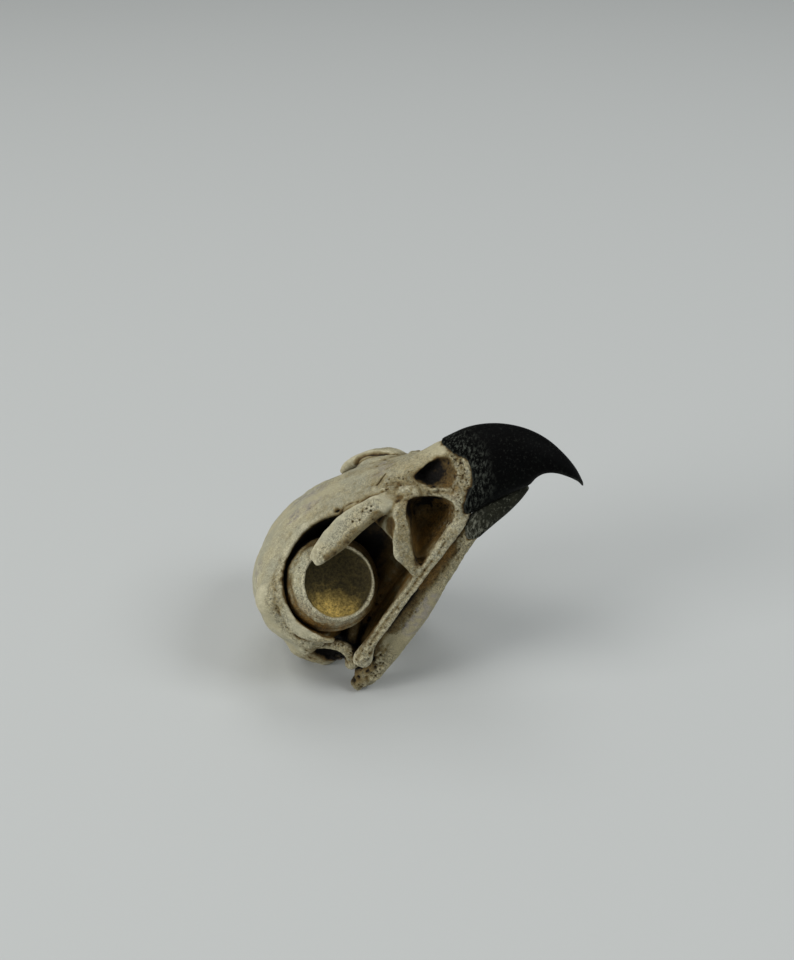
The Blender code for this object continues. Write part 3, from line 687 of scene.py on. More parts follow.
skullMarks = {
    "lumps": [(9, 0.3), (3.4, 0.13), (1.3, 0.05)],  # (size, height)
    "fibres": (1.1, 0.09),  # along the porous bones
    "grooves": [
        ([(44.6, -11.2, 40), (48, -12.2, 39.6), (51, -12.6, 38.3), (53.2, -13.2, 37.2)], 0.6, 1.1),
        ([(53, -13.1, 37.3), (54.4, -12.6, 36.5), (56.7, -11.8, 34.6), (59.1, -12.8, 33.1)], 0.8, 0.35),
        ([(58.2, -7.5, 34.6), (59.6, -5.7, 34.4), (60.9, -4.1, 34.1)], 0.4, 0.55),
        ([(28.7, -5.4, 48.4), (33.7, -4.8, 47.1), (38.4, -4.3, 45.4)], 1.3, 0.35),
        ([(57.4, -2.8, 36.2), (63.4, -1, 32.9)], 0.6, 0.2),
        ([(10, -22, 45), (9.6, -12, 49), (9.5, 0, 50.6)], 1.8, 0.55),
        (barLine[:-1], 0.5, 0.26),
        ([(10, -27.6, 27), (11.8, -28, 22.5), (13.6, -27.4, 19.4)], 1.6, 1.2),
        ([(17, -25.6, 6.4), (12, -26.6, 5.6)], 0.5, 0.45),
        ([(17.5, -26.6, 9.2), (12.6, -27.2, 8.6)], 0.4, 0.35),
        (strapLine[1:], 0.8, 0.4),
        ([(9.2, -25.5, 33.5), (10, -27.6, 28.5), (11.4, -28.6, 24), (15.4, -29.4, 19.6)], 0.9, 0.7),
        ([(0.5, -20.5, 24), (3.5, -24.5, 30), (6.5, -26, 37)], 1.4, 0.35),
        ([(66, -10.5, 26.5), (62, -14, 25.5), (59.5, -16.5, 25.3)], 0.6, 0.3),
        ([(79.4, -6.2, 22.4), (79.6, -8, 20), (77.6, -9.6, 17.8)], 2.4, 0.8),
    ],
    "ridges": [
        ([(68.6, -10.2, 22), (71.4, -10.6, 19.2), (74.1, -10.7, 17.3), (77, -9.8, 17.8)], 0.7, 0.35),
        ([(40, -21.9, 41), (48, -17.5, 39.6), (54, -15.5, 37.5), (58.5, -12.5, 33.6)], 0.9, 0.3),
        ([(60.9, -16, 27.4), (57.6, -17.6, 26.6), (52.2, -19.4, 22.9), (47.3, -20, 18.6)], 0.7, 0.3),
        ([(-9, -6, 25), (-7.8, -12, 21), (-4, -17, 17.4), (2, -20.4, 13)], 1.2, 0.35),
        ([(64, -15.8, 10.6), (52, -19.2, 10.6), (38, -22.2, 10.4), (22, -25.5, 9.8)], 0.5, 0.25),
        ([(64, -15.8, 7.6), (52, -19.2, 7.6), (38, -22.2, 7.6), (22, -25.5, 7)], 0.5, 0.25),
    ],
    "pits": [  # (line, reach round it, number, widest, deepest)
        (browLine[:2], 1, 16, 0.75, 0.9),
        ([(56, -18.6, 31), (50, -22, 33.4), (43, -25.4, 35)], 1.8, 40, 0.5, 0.5),
        (strapLine, 2, 44, 0.42, 0.4),
        (rearLine, 5, 120, 0.6, 0.8),
        (pillarLine, 2.6, 34, 0.4, 0.4),
        (barLine, 1.6, 50, 0.35, 0.35),
        ([(18, -26, 7), (12, -27, 6.5)], 2.6, 40, 0.5, 0.6),
        ([(64.6, -9.5, 11.9), (62.9, -4.9, 14.9), (66, -6, 19)], 5, 110, 0.8, 0.8),
        ([(79.4, -8, 18.2), (77.9, -9.4, 15.9), (73, -11.3, 13.6)], 2, 44, 0.4, 0.4),
        ([(66.6, -6.9, 27.5), (60.5, -8.5, 31.4)], 2.6, 40, 0.5, 0.4),
        ([(2, -12, 8), (12, -8, 6), (20, -3, 7)], 7, 120, 0.9, 0.8),
        ([(-8, 0, 30), (-8, 0, 20)], 8, 60, 0.6, 0.45),
        ([(30, -6, 47.6), (20, -12, 47)], 10, 34, 0.5, 0.35),
    ],
    "porous": [  # (line, reach, strength): where the bone is coarse
        ([(70, -6, 30), (56, -6, 36), (42, -8, 42)], 8, 0.55),
        ([(30, -10, 46), (20, -16, 45)], 10, 0.3),
        ([(60, -9, 14), (68, -6, 20)], 9),
        ([(79.4, -6.4, 22), (75, -10.4, 17)], 4),
        (barLine, 3.4),
        (strapLine, 3.6),
        (pillarLine, 4.4),
        (rearLine, 7),
        (browLine, 3.6),
        ([(78, -8, 20), (77, -9, 15), (66, -12, 9)], 6),
        ([(66, -7, 27), (60, -9, 31)], 4),
    ],
    "wormy": [  # (line, reach, strength): where the surface is crossed by small furrows
        ([(79.6, -6.8, 21.6), (79.2, -8.8, 18.6), (75, -10.2, 17.2)], 3.4),
        ([(73, -4.5, 21), (76, -6.5, 19)], 4, 0.8),
        ([(61, -7, 13), (68, -8, 17)], 8, 0.9),
        ([(56, -10.5, 13), (62, -11, 11.4)], 4, 0.9),
        ([(20, -16, 44), (26, -10, 46)], 4, 0.25),
    ],
    "rough": [  # (line, reach, size, height)
        (rearLine, 8, 3.2, 0.5),
        ([(12, -26, 7), (17, -26.6, 8)], 3, 1.6, 0.25),
        ([(39, -25, 38), (34, -25.5, 38.5)], 3, 1.3, 0.45),
    ],
    "stains": [  # (line, reach): grey ones
        ([(58.8, -2.3, 35.5), (61, -1, 34.2)], 3),
        ([(30, -5, 48), (38.4, -4.3, 45.4)], 3.4),
        ([(12, -14, 48), (4, -18, 42)], 4),
        ([(-4, -12, 34), (-7, -10, 26)], 5),
    ],
    "wash_and_shade": [  # inside the orbits, the windows and the nostrils: brown paint where it pools, and painted shade
        ([(57, -12, 27), (50, -12, 22)], 7),
        ([(50, -9, 24), (56, -10, 29)], 5),
        ([(22, -9, 40), (36, -6, 36), (46, -6, 24), (30, -6, 24)], 10),
        ([(62, -6, 16), (66, -5, 20)], 5),
        ([(69.5, -4, 23), (75, -5, 22)], 4.4),
    ],
    "washAndShadeDepth": 15.5,  # further out than this the wash and painted shade stop
    "grimeAndShade": [  # (line, reach, strength): brown paint left on the open faces, and painted shade on them
        ([(60, -4, 34), (72, -5, 30)], 8, 0.5),
        ([(67, -10, 25), (72, -11, 20), (77, -10, 15)], 4.2, 0.35),
        ([(79.6, -6.4, 22), (79.4, -8.4, 19.4), (75, -10.4, 17)], 3, 0.3),
        ([(75, -5, 22.5), (76, -7.5, 20), (73, -9, 19)], 2.4, 0.9),
        ([(40, -9, 43), (56, -7, 37)], 8, 0.4),
        ([(56, -18.6, 31), (50, -22, 33.4), (40, -26.4, 35.6)], 2.6, 0.8),
        (pillarLine, 3.4, 0.45),
        ([(55.8, -18, 26.6), (52.4, -18, 24.4)], 2.3, 1.5),
        (strapLine[:3], 4, 0.35),
        ([(11, -27, 28), (17, -31, 20)], 3.4, 0.5),
        (rearLine, 5, 0.5),
        ([(5.6, -19, 13), (2.6, -13, 12)], 5.5, 2),
        (barLine, 2.6, 0.35),
        ([(52, -13, 33), (47, -15, 36)], 6, 1),
    ],
    "bed": [([(14, -18, 36), (12, -23, 24), (20, -24, 15)], 11)],  # ochre, but only in the hollows
    "ochre": [
        ([(76.5, -8.6, 18.6), (74, -9.6, 18.2), (71, -10.2, 19.4)], 1.6, 0.55),
        ([(22, -12, 9), (33, -10, 12), (50, -9, 12)], 8),
        ([(56, -9, 13), (62, -6, 12)], 7),
        # this ochre lightens the window's front wall: a painted highlight where light falls into the window
        ([(70, -9, 13), (73, -9, 17)], 3, 0.5),
    ],
}

carving = {  # sizes, widths and depths in mm
    "waver": (2.2, 0.75, 0.7),  # (size, middle, reach): how the grooves and ridges come and go
    "waverEnds": (0.2, 1.4),
    "crease": (2.4, 0.045, 0.07),  # (size, width, depth) of the fine furrows in the porous bone
    "worms": (1.9, 1.1, 0.4),  # (large, small, share of the small)
    "worm": (0.11, 0.26),  # (width, depth)
    "fibreStretch": (0.28, 1, 1),
    "fineFibre": 0.8,  # the size of the second, unstretched grain
    "pitShade": 1.6,  # how dark a pit is painted for its depth, as painted shade, and a furrow
    "furrowShade": 4,
}


def areaOf(points, areas, fade=1.5):
    # 1 near each line, falling to 0 beyond its reach, times its strength
    found = np.zeros(len(points))
    for line, reach, *strength in areas:
        amount = np.clip(fade - fade * (distanceToLine(points, line) / reach) ** 2, 0, 1)
        found = np.maximum(found, amount * (strength[0] if strength else 1))
    return found


def furrowsAt(points, marks, porous, seed):
    size, width, depth = carving["crease"]
    found = depth * porous * np.exp(-((noiseAt(points, size, seed + 5) / width) ** 2))
    large, small, share = carving["worms"]
    worms = np.abs(noiseAt(points, large, seed + 8)) + share * np.abs(noiseAt(points, small, seed + 6))
    width, depth = carving["worm"]
    wormy = areaOf(rightSide(points), marks.get("wormy", []))
    return found + depth * wormy * np.exp(-((worms / width) ** 2))


def sculpt(mesh, marks, seed):
    points = pointsOf(mesh)
    near = rightSide(points)
    heights = lumpsAt(points, marks["lumps"], seed)
    waverSize, middle, sway = carving["waver"]
    for sign, name in ((-1, "grooves"), (1, "ridges")):
        for line, width, size in marks.get(name, []):
            waver = middle + noiseAt(points, waverSize, seed + len(line)) * sway
            heights += sign * size * bumpAlong(near, line, width) * np.clip(waver, *carving["waverEnds"])
    for line, reach, size, height in marks.get("rough", []):
        heights += areaOf(near, [(line, reach)]) * height * noiseAt(points, size, seed + 3)
    porous = areaOf(near, marks["porous"])
    furrows = furrowsAt(points, marks, porous, seed)
    size, height = marks["fibres"]
    heights += porous * height * noiseAt(points * carving["fibreStretch"], size, seed + 7)
    heights += porous * height * noiseAt(points, size * carving["fineFibre"], seed + 9)
    pits = pitsOn(mesh, marks["pits"], seed)
    raisePoints(mesh, heights - pits - furrows)
    # painted shade: the pits and furrows are darker the deeper they are
    setMask(mesh, "pits", spread(mesh, pits * carving["pitShade"] + furrows * carving["furrowShade"], 1))


skull = makeSkull()
sculpt(skull.data, skullMarks, seed=11)
thin(skull, skullSkin["triangles"])
print("skull sculpted", len(skull.data.polygons))


# The horn: a thin cap over the bone, a little proud of it, with a ragged rear edge

upperSheath = {
    "proud": 0.12,
    "voxel": 0.42,
    "passes": 2,
    "formPasses": 4,
    "ragged": (0.72, 2.6),  # how far the edge wanders, and over what length
    "raggedFine": (0.6, 2.7),  # the share of a finer waver, and how much finer it is
    "trimmed": 0.8,  # the voxel's share once the edge is cut
}


def ragged(edge, seed):
    reach, length = upperSheath["ragged"]
    share, finer = upperSheath["raggedFine"]
    found = []
    for x, z in smoothStations(edge, 10):
        sway = noise.noise(Vector((x, z, seed)) / length)
        sway += share * noise.noise(Vector((x, z, -seed)) / length * finer)
        found.append((x + sway * reach, z))
    return found


def makeUpperSheath():
    grown = swollen(bill["keel"], upperSheath["proud"])
    sheath = newPiece("upperSheath", keel(grown, sides=48, steps=8))
    fuse(sheath, upperSheath["voxel"], upperSheath["formPasses"])
    combine(sheath, frontOf(ragged(sheathEdges["upper"], seed=5.0)), "INTERSECT")
    return fuse(sheath, upperSheath["voxel"] * upperSheath["trimmed"], upperSheath["passes"])


upper = makeUpperSheath()
print("upper sheath formed", len(upper.data.polygons))


# The lower jaw: both halves in one, with its own sheath

jaw = {
    "half": [
        (-0.8, -21, 1.6, 2.2, 1.6), (1.8, -21.2, 1.4, 3.2, 2.8), (6, -21.3, 1.2, 3.2, 4),
        (16, -20.7, 1.8, 1.8, 4.8), (32, -18.4, 2.4, 1.6, 4.9), (47, -15.4, 3.3, 1.7, 3.7),
        (57, -13, 4.1, 1.8, 3.3), (64, -11, 4.2, 2, 3.1), (70, -8.6, 3.1, 2.8, 3.3),
        (75.5, -5.6, 1.4, 3.6, 3.3), (80, -3, -0.1, 4, 2.6), (83.4, -1.2, -1.4, 3, 1.5),
    ],
    "tongueFloor": ((76.5, -0.5, -0.3), (7, 5.6, 1.7), (0, 18, 0)),
    "voxel": 0.42,
    "passes": 3,
    "proud": 0.3,
    "triangles": 60000,
}

jawRidge = [(58, -15, 6.2), (50, -17, 6.2), (38, -19.8, 5.6), (26, -21.8, 5)]
jawMarks = {
    "lumps": [(7, 0.22), (2.6, 0.12), (1.1, 0.05)],
    "fibres": (1.0, 0.14),
    "grooves": [
        ([(57, -15, 4.6), (52, -16.2, 4.2), (46, -17.6, 3.6)], 1.3, 0.55),
        ([(40, -19.2, 3.4), (30, -21, 2.8), (18, -22.5, 2.2)], 0.7, 0.3),
        ([(5, -24.4, 3.6), (2, -24.2, 0)], 0.7, 0.5),
        ([(10, -23.4, 4), (7, -24.6, -1)], 0.6, 0.4),
    ],
    "ridges": [(jawRidge, 0.6, 0.35), ([(52, -16.4, 1), (38, -19.6, -0.6), (24, -21.6, -1.6)], 0.9, 0.25)],
    "pits": [
        ([(57, -15, 4.6), (46, -17.6, 3.4), (34, -20, 2.6)], 2.4, 26, 0.4, 0.35),
        ([(12, -23.5, 2.6), (2, -24, 2)], 4.2, 60, 0.6, 0.8),
        ([(10, -23.4, 4), (2, -24, 2)], 3.6, 14, 1.5, 1.5),
        ([(64, -12.6, 4), (60, -14, 2)], 3, 40, 0.5, 0.4),
    ],
    "porous": [(jawRidge, 4), ([(14, -23, 2), (0, -22, 2)], 7), ([(62, -13, 3), (48, -17, 2)], 5)],
    "rough": [([(8, -22, 2), (-2, -22, 1)], 7, 2.2, 1.1)],  # (line, reach, size, height)
    "stains": [([(40, -19, 0), (30, -21, 1)], 5)],
    # brown paint and painted shade by the jaw's hinge and along its ridge
    "grimeAndShade": [([(9, -23, 4), (2, -23, 3)], 5, 0.5), (jawRidge, 3, 0.5)],
    "ochre": [([(57, -14, 7), (44, -17, 6.6)], 3)],
}


def makeJaw():
    halves = both(limb(jaw["half"], steps=6, power=2.3), ball(*jaw["tongueFloor"]))
    lower = fuse(newPiece("lowerJaw", joined(halves)), jaw["voxel"], jaw["passes"])
    grown = [(x, y, z, wide + jaw["proud"], deep + jaw["proud"]) for x, y, z, wide, deep in jaw["half"]]
    cap = newPiece("lowerSheath", joined(both(limb(grown, steps=6, power=2.3), ball(*jaw["tongueFloor"]))))
    fuse(cap, jaw["voxel"], jaw["passes"])
    combine(cap, frontOf(ragged(sheathEdges["lower"], seed=9.0)), "INTERSECT")
    combine(lower, frontOf(shortened(sheathEdges["lower"], skullSkin["underHorn"])), "DIFFERENCE")
    return lower, fuse(cap, jaw["voxel"] * upperSheath["trimmed"], upperSheath["passes"])


lowerJaw, lowerSheath = makeJaw()
sculpt(lowerJaw.data, jawMarks, seed=23)
thin(lowerJaw, jaw["triangles"])
print("lower jaw formed", len(lowerJaw.data.polygons))


# The quadrates hinge the lower jaw under the braincase

quadrate = {
    "stem": [
        (4, -19.4, 20, 2.4, 2.2), (8.2, -21.6, 17.2, 1.9, 1.7), (10.8, -22.8, 12.6, 2, 2),
        (9, -22.2, 7.2, 2.6, 2.8),
    ],
    "foot": ((8.4, -21, 7.4), (4.6, 4, 2.6)),
    "spur": [(9.5, -19.5, 10.5, 2, 2.2), (14, -15.5, 12.8, 1.4, 1.9), (18, -12.6, 14, 1, 1.4)],
    "voxel": 0.4,
    "passes": 2,
}


def makeQuadrate(side):
    forms = joined([limb(quadrate["stem"]), ball(*quadrate["foot"]), limb(quadrate["spur"])])
    return fuse(onSide("quadrate", forms, side), quadrate["voxel"], quadrate["passes"])


quadrateLine = [(8, -21, 18), (10.8, -22.8, 12.6), (8, -22, 7)]
quadrateMarks = {
    "lumps": [(4, 0.2), (1.5, 0.1)],
    "fibres": (1.0, 0.08),
    "pits": [(quadrateLine, 3, 36, 0.4, 0.45)],
    "porous": [(quadrateLine, 8)],
}

quadrates = [makeQuadrate(side) for side in (-1, 1)]
for piece in quadrates:
    sculpt(piece.data, quadrateMarks, seed=31)
print("quadrates formed")


# The eye rings: bony plates round a closed bowl

ring = {
    "steps": 240,
    "profileSteps": 44,
    "underSteps": 30,
    "starts": (0.03, 0.05),  # how far past the lip and past the base the next points start
    "wall": 0.9,
    "bowlTurn": 1.45,  # radians from the bowl's middle to its edge
    "lipDrop": 0.6,  # how far the rounded lip reaches down
    "lip": [(0.15, 0.25), (0.4, 0.04), (0.7, 0.15)],  # (out from the bowl's edge, down from the top)
    "bulge": 0.7,  # how far the cone's side swells
    "lumps": [(4.5, 0.3), (1.5, 0.1), (0.7, 0.04)],  # (size, height)
    "sway": (5, 0.8),  # over what length the folds wander, and how far
    "folds": [(6, 0.16, 0.8), (3.2, 0.22, 0.8), (4.6, -0.2, 0.6), (1.2, -0.2, 0.8)],  # (height, out, width)
    "outside": (0.8, -4),  # the outside sets in over this width at the rim, and ends at this height
    "plates": 13,
    "seam": (0.07, 0.07),  # (width, depth)
    "waves": (5, 3, 0.03),  # inside the bowl: how close, how far they sway, how high
    "pits": (17, 90, 0.5, 0.35),  # (reach, number, widest, deepest)
    # how dark a pit is painted for its depth: painted shade
    "pitShade": 2.2,
    "seed": 41,
    "bowlEnds": (0.3, 0.2, 0.9),  # its dark paint and painted shade: how far past the edge, how far under the top, how fast
    "litOchreLean": (0.25, 0, -0.25),  # the ochre, ochre paint with a painted highlight, lies where the bowl turns up to the light, and a little rearward of that
    "litOchreFrom": 4.5,
    "litOchreDepth": 11,
    "litOchreCurve": 1.5,
    "washAndShadeBelow": (3.4, 4),  # the brown wash and painted shade lie under this height, fading over this much
    "washAndShadeBehind": (4, 6),  # and behind this far from the middle
}


def makeRing(side):
    rim, base, back, steps = eye["rim"], eye["base"], eye["back"], ring["profileSteps"]
    edge, depth, low = rim - ring["wall"], eye["bowlDepth"], eye["height"] - ring["lipDrop"]
    turns = np.linspace(0, ring["bowlTurn"], steps)
    bowl = [(edge * math.sin(a), low - depth * math.cos(a)) for a in turns]
    lip = [*((edge + out, eye["height"] - down) for out, down in ring["lip"]), (rim, low)]
    outer = []
    for t in np.linspace(ring["starts"][0], 1, steps):
        outer.append((rim + (base - rim) * t + ring["bulge"] * math.sin(math.pi * t), low * (1 - t)))
    turns = np.linspace(ring["starts"][1], math.pi / 2, ring["underSteps"])
    under = [(base * math.cos(a), -back * math.sin(a)) for a in turns]
    under[-1] = (0, -back)
    return onSide("eyeRing", turnedOnEye([*bowl, *lip, *outer, *under], ring["steps"]), side)


def fromEye(points, side):
    # from the middle of the cone's base, with a left ring's points mirrored to the right
    return points * (1, -side, 1) - np.array(eye["centre"])


def onEye(points, side):
    # height along the ring's axis, distance from it and angle round it
    along, across, height = (fromEye(points, side) @ np.array(eyePlace().inverted().to_3x3()).T).T
    return height, np.hypot(along, across), np.arctan2(across, along)


def sculptRing(mesh, side):
    points, seed = pointsOf(mesh), ring["seed"]
    height, radius, angle = onEye(points, side)
    width, lowest = ring["outside"]
    outside = np.clip((radius - eye["rim"] + width) / width, 0, 1) * (height > lowest)
    size, reach = ring["sway"]
    sway = noiseAt(points, size, seed) * reach
    heights = lumpsAt(points, ring["lumps"], seed)
    for level, out, width in ring["folds"]:
        heights += outside * out * np.exp(-(((height + sway - level) / width) ** 2))
    width, depth = ring["seam"]
    plates = np.abs(np.sin((angle * ring["plates"] + sway) / 2))
    heights -= outside * depth * np.exp(-((plates / width) ** 2))
    close, swing, high = ring["waves"]
    heights += (1 - outside) * np.sin(height * close + sway * swing) * high
    pits = pitsOn(mesh, [([eye["centre"]], *ring["pits"])], seed)
    raisePoints(mesh, heights - pits)
    # painted shade in the pits, darker the deeper they are
    setMask(mesh, "pits", pits * ring["pitShade"])


def paintRing(mesh, side):
    points = pointsOf(mesh)
    height, radius, _ = onEye(points, side)
    beyond, under, speed = ring["bowlEnds"]
    inBowl = radius < eye["rim"] - ring["wall"] + beyond
    setMask(mesh, "bowl", inBowl * np.clip((eye["height"] - under - height) * speed, 0, 1))
    # the ochre follows the world's up: a painted highlight on the bowl's low side that faces the light
    upward = headPose.to_3x3().inverted() @ Vector((0, 0, 1)) + Vector(ring["litOchreLean"])
    raised = fromEye(points, side) @ np.array(upward)
    ochre = np.clip((ring["litOchreFrom"] - raised) / ring["litOchreDepth"], 0, 1)
    setMask(mesh, "ochre", ochre ** ring["litOchreCurve"])
    # brown wash and painted shade low on the ring, where it sits in its seat, and toward its rear
    behind, length = ring["washAndShadeBehind"]
    rearward = np.clip((eye["centre"][0] - behind - points[:, 0]) / length, 0, 1)
    below, length = ring["washAndShadeBelow"]
    setMask(mesh, "wash_and_shade", np.clip((below - height) / length, 0, 1) * rearward)


rings = [makeRing(side) for side in (-1, 1)]
for piece, side in zip(rings, (-1, 1)):
    sculptRing(piece.data, side)
print("eye rings formed")

pieces = [skull, upper, lowerJaw, lowerSheath, *quadrates, *rings]


# Masks for the paint: how closed in, how edged, how pitted and how coarse each point is

painting = {
    "bed": (0.3, 4),  # how closed in a point is where the ochre sets in, and how fast it does
    "washAndShadeEdge": 2,  # mm over which the wash and painted shade fade as they near the outside
}


def paintMasks(piece, tree, marks):
    mesh = piece.data
    points = rightSide(pointsOf(mesh))
    # the cavity mask, and the creases in the ridge mask, darken the bone's paint: painted shade
    shade = shadeOf(mesh, tree)
    setMask(mesh, "cavity", shade)
    setMask(mesh, "ridge", ridgesOf(mesh))
    kinds = ("porous", "stains", "ochre", "bed", "wash_and_shade", "grimeAndShade")
    areas = {name: areaOf(points, marks.get(name, [])) for name in kinds}
    setMask(mesh, "porous", areas["porous"])
    setMask(mesh, "stains", areas["stains"])
    least, speed = painting["bed"]
    closed = np.clip((shade - least) * speed, 0, 1)
    setMask(mesh, "ochre", np.maximum(areas["ochre"], areas["bed"] * closed))
    # the wash mask is brown paint and painted shade in the hollows, and the grime mask is brown paint and
    # painted shade on the open faces
    inside = np.clip((marks.get("washAndShadeDepth", 0) + points[:, 1]) / painting["washAndShadeEdge"], 0, 1)
    setMask(mesh, "wash_and_shade", np.maximum(areas["wash_and_shade"] * inside, areas["grimeAndShade"]))
    if "pits" not in mesh.attributes:
        setMask(mesh, "pits", np.zeros(len(points)))


def behindEdge(piece, edge, reach):
    # 1 at the horn's rear edge, falling to 0 a way in front of it
    points = pointsOf(piece.data)
    line = [(x, 0, z) for x, z in smoothStations(edge, 6)]
    setMask(piece.data, "rear", np.clip(1 - distanceToLine(points * (1, 0, 1), line) / reach, 0, 1))


everything = bmesh.new()
for piece in pieces:
    everything.from_mesh(piece.data)
openTree = BVHTree.FromBMesh(everything)
everything.free()
ringMarks = {"porous": [([eye["centre"]], 30)]}
for piece, marks in zip(pieces, (skullMarks, {}, jawMarks, {}, *[quadrateMarks] * 2, *[ringMarks] * 2)):
    paintMasks(piece, openTree, marks)
behindEdge(upper, sheathEdges["upper"], reach=9.0)
behindEdge(lowerSheath, sheathEdges["lower"], reach=8.0)
for piece, side in zip(rings, (-1, 1)):
    paintRing(piece.data, side)
print("masks painted")


# Materials: the groups put out colours, masks and heights, and each material dresses its own shader


def plug(value, socket):
    # value is a field, a node's socket, a number or a colour
    value = value.socket if isinstance(value, Field) else value
    if isinstance(value, bpy.types.NodeSocket):
        socket.id_data.links.new(value, socket)
    else:
        socket.default_value = value


def put(tree, kind, inputs=None, **settings):
    made = tree.nodes.new("ShaderNode" + kind)
    for key, value in settings.items():
        setattr(made, key, value)
    for key, value in (inputs or {}).items():
        plug(value, made.inputs[key])
    return made


class Field:
    # a value that changes over the surface: each sum and product of it is a math node
    def __init__(self, socket):
        self.socket, self.tree = socket, socket.id_data

    def math(self, operation, *values):
        return Field(put(self.tree, "Math", dict(enumerate(values)), operation=operation).outputs[0])

    def __add__(self, other):
        return self.math("ADD", self, other)

    def __sub__(self, other):
        return self.math("SUBTRACT", self, other)

    def __rsub__(self, other):
        return self.math("SUBTRACT", other, self)

    def __mul__(self, other):
        return self.math("MULTIPLY", self, other)

    def orMore(self, other):
        return self.math("MAXIMUM", self, other)

    def ramp(self, gain, start):
        return self * gain + start

    def about(self, middle, gain):
        return (self - middle) * gain

    def step(self, low, high):
        # 0 below low, 1 above high, smooth between
        ends = {"Value": self, "From Min": low, "From Max": high}
        return Field(put(self.tree, "MapRange", ends, interpolation_type="SMOOTHSTEP").outputs["Result"])


def blend(tree, amount, first, second, kind="MIX"):
    made = put(tree, "Mix", data_type="RGBA", blend_type=kind)
    for place, value in ((0, amount), (6, first), (7, second)):
        plug(value, made.inputs[place])
    return made.outputs[2]


def newGroup(name, ins, outs):
    # ins and outs are {kind: labels}
    tree = bpy.data.node_groups.new(name, "ShaderNodeTree")
    for way, sockets in (("INPUT", ins), ("OUTPUT", outs)):
        for kind, labels in sockets.items():
            for label in labels:
                tree.interface.new_socket(name=label, in_out=way, socket_type="NodeSocket" + kind)
    return tree, tree.nodes.new("NodeGroupInput").outputs, tree.nodes.new("NodeGroupOutput").inputs


def here(tree):
    return put(tree, "TexCoord").outputs["Object"]


def noiseOf(tree, size, detail=4.0, roughness=0.6, place=None):
    values = {"Vector": place or here(tree), "Scale": 1 / (size * mm), "Detail": detail}
    return Field(put(tree, "TexNoise", {**values, "Roughness": roughness}).outputs["Fac"])


def patchesOf(tree, size, detail, roughness, low, high):
    return noiseOf(tree, size, detail, roughness).step(low, high)


def mask(tree, name):
    return Field(put(tree, "Attribute", attribute_name=name).outputs["Fac"])


def dimmed(tree, colour, amount):
    grey = put(tree, "CombineColor", {"Red": amount, "Green": amount, "Blue": amount}).outputs[0]
    return blend(tree, 1.0, colour, grey, "MULTIPLY")


poreShapes = {  # a noise is (size in mm, detail, roughness)
    "stretch": (0.75, 1, 1),
    "bend": (0.7, 0.55),  # mm: over what length the holes are bent, and how far
    "holes": ((0.6, 0.44, 0.62), (0.36, 0.42, 0.62)),  # (size in mm, least and most of the patches)
    "edge": (0.42, 0.22),  # from a hole's rim to where it is dark
    "frayed": (0.3, 0.2),  # (size in mm, amount)
    "patches": (2.4, 3),
    "favour": 0.2,  # how far coarse bone gets more holes
    "depth": (0.95, 0.12),  # in coarse bone, and everywhere
    "grain": (0.45, 5, 0.7),
    "grainDepth": (1.5, 0.4),
    "grainShare": 0.7,  # against the holes
}


def makePores():
    # small holes in the coarse bone, painted dark as painted shade, and a fine grain everywhere
    tree, given, wanted = newGroup("pores", {"Float": ("Porous", "Pits")}, {"Float": ("Dark", "Height")})
    shapes, porous, dark = poreShapes, Field(given["Porous"]), None
    length, reach = shapes["bend"]
    stretched = put(tree, "Mapping", {"Vector": here(tree), "Scale": shapes["stretch"]}).outputs[0]
    bend = put(tree, "TexNoise", {"Vector": here(tree), "Scale": 1 / (length * mm), "Detail": 3.0})
    bend = put(tree, "VectorMath", {0: bend.outputs["Color"], "Scale": reach * mm}, operation="SCALE")
    warp = put(tree, "VectorMath", {0: stretched, 1: bend.outputs[0]}, operation="ADD").outputs[0]
    frayed, share = shapes["frayed"]
    for size, least, most in shapes["holes"]:
        cell = put(tree, "TexVoronoi", {"Vector": warp, "Scale": 1 / (size * mm), "Randomness": 1.0})
        hole = (Field(cell.outputs["Distance"]) + noiseOf(tree, frayed) * share).step(*shapes["edge"])
        hole *= (noiseOf(tree, *shapes["patches"]) - porous * shapes["favour"]).step(least, most)
        dark = hole if dark is None else dark.orMore(hole)
    dark *= porous.ramp(*shapes["depth"])
    # Dark is painted shade in the holes and in the carved pits
    plug(dark.orMore(given["Pits"]), wanted["Dark"])
    grain = noiseOf(tree, *shapes["grain"]) * porous.ramp(*shapes["grainDepth"])
    plug(grain * shapes["grainShare"] - dark, wanted["Height"])
    return tree


boneMasks = ("Cavity", "Ridge", "Porous", "Stains", "Ochre", "Wash_and_shade")
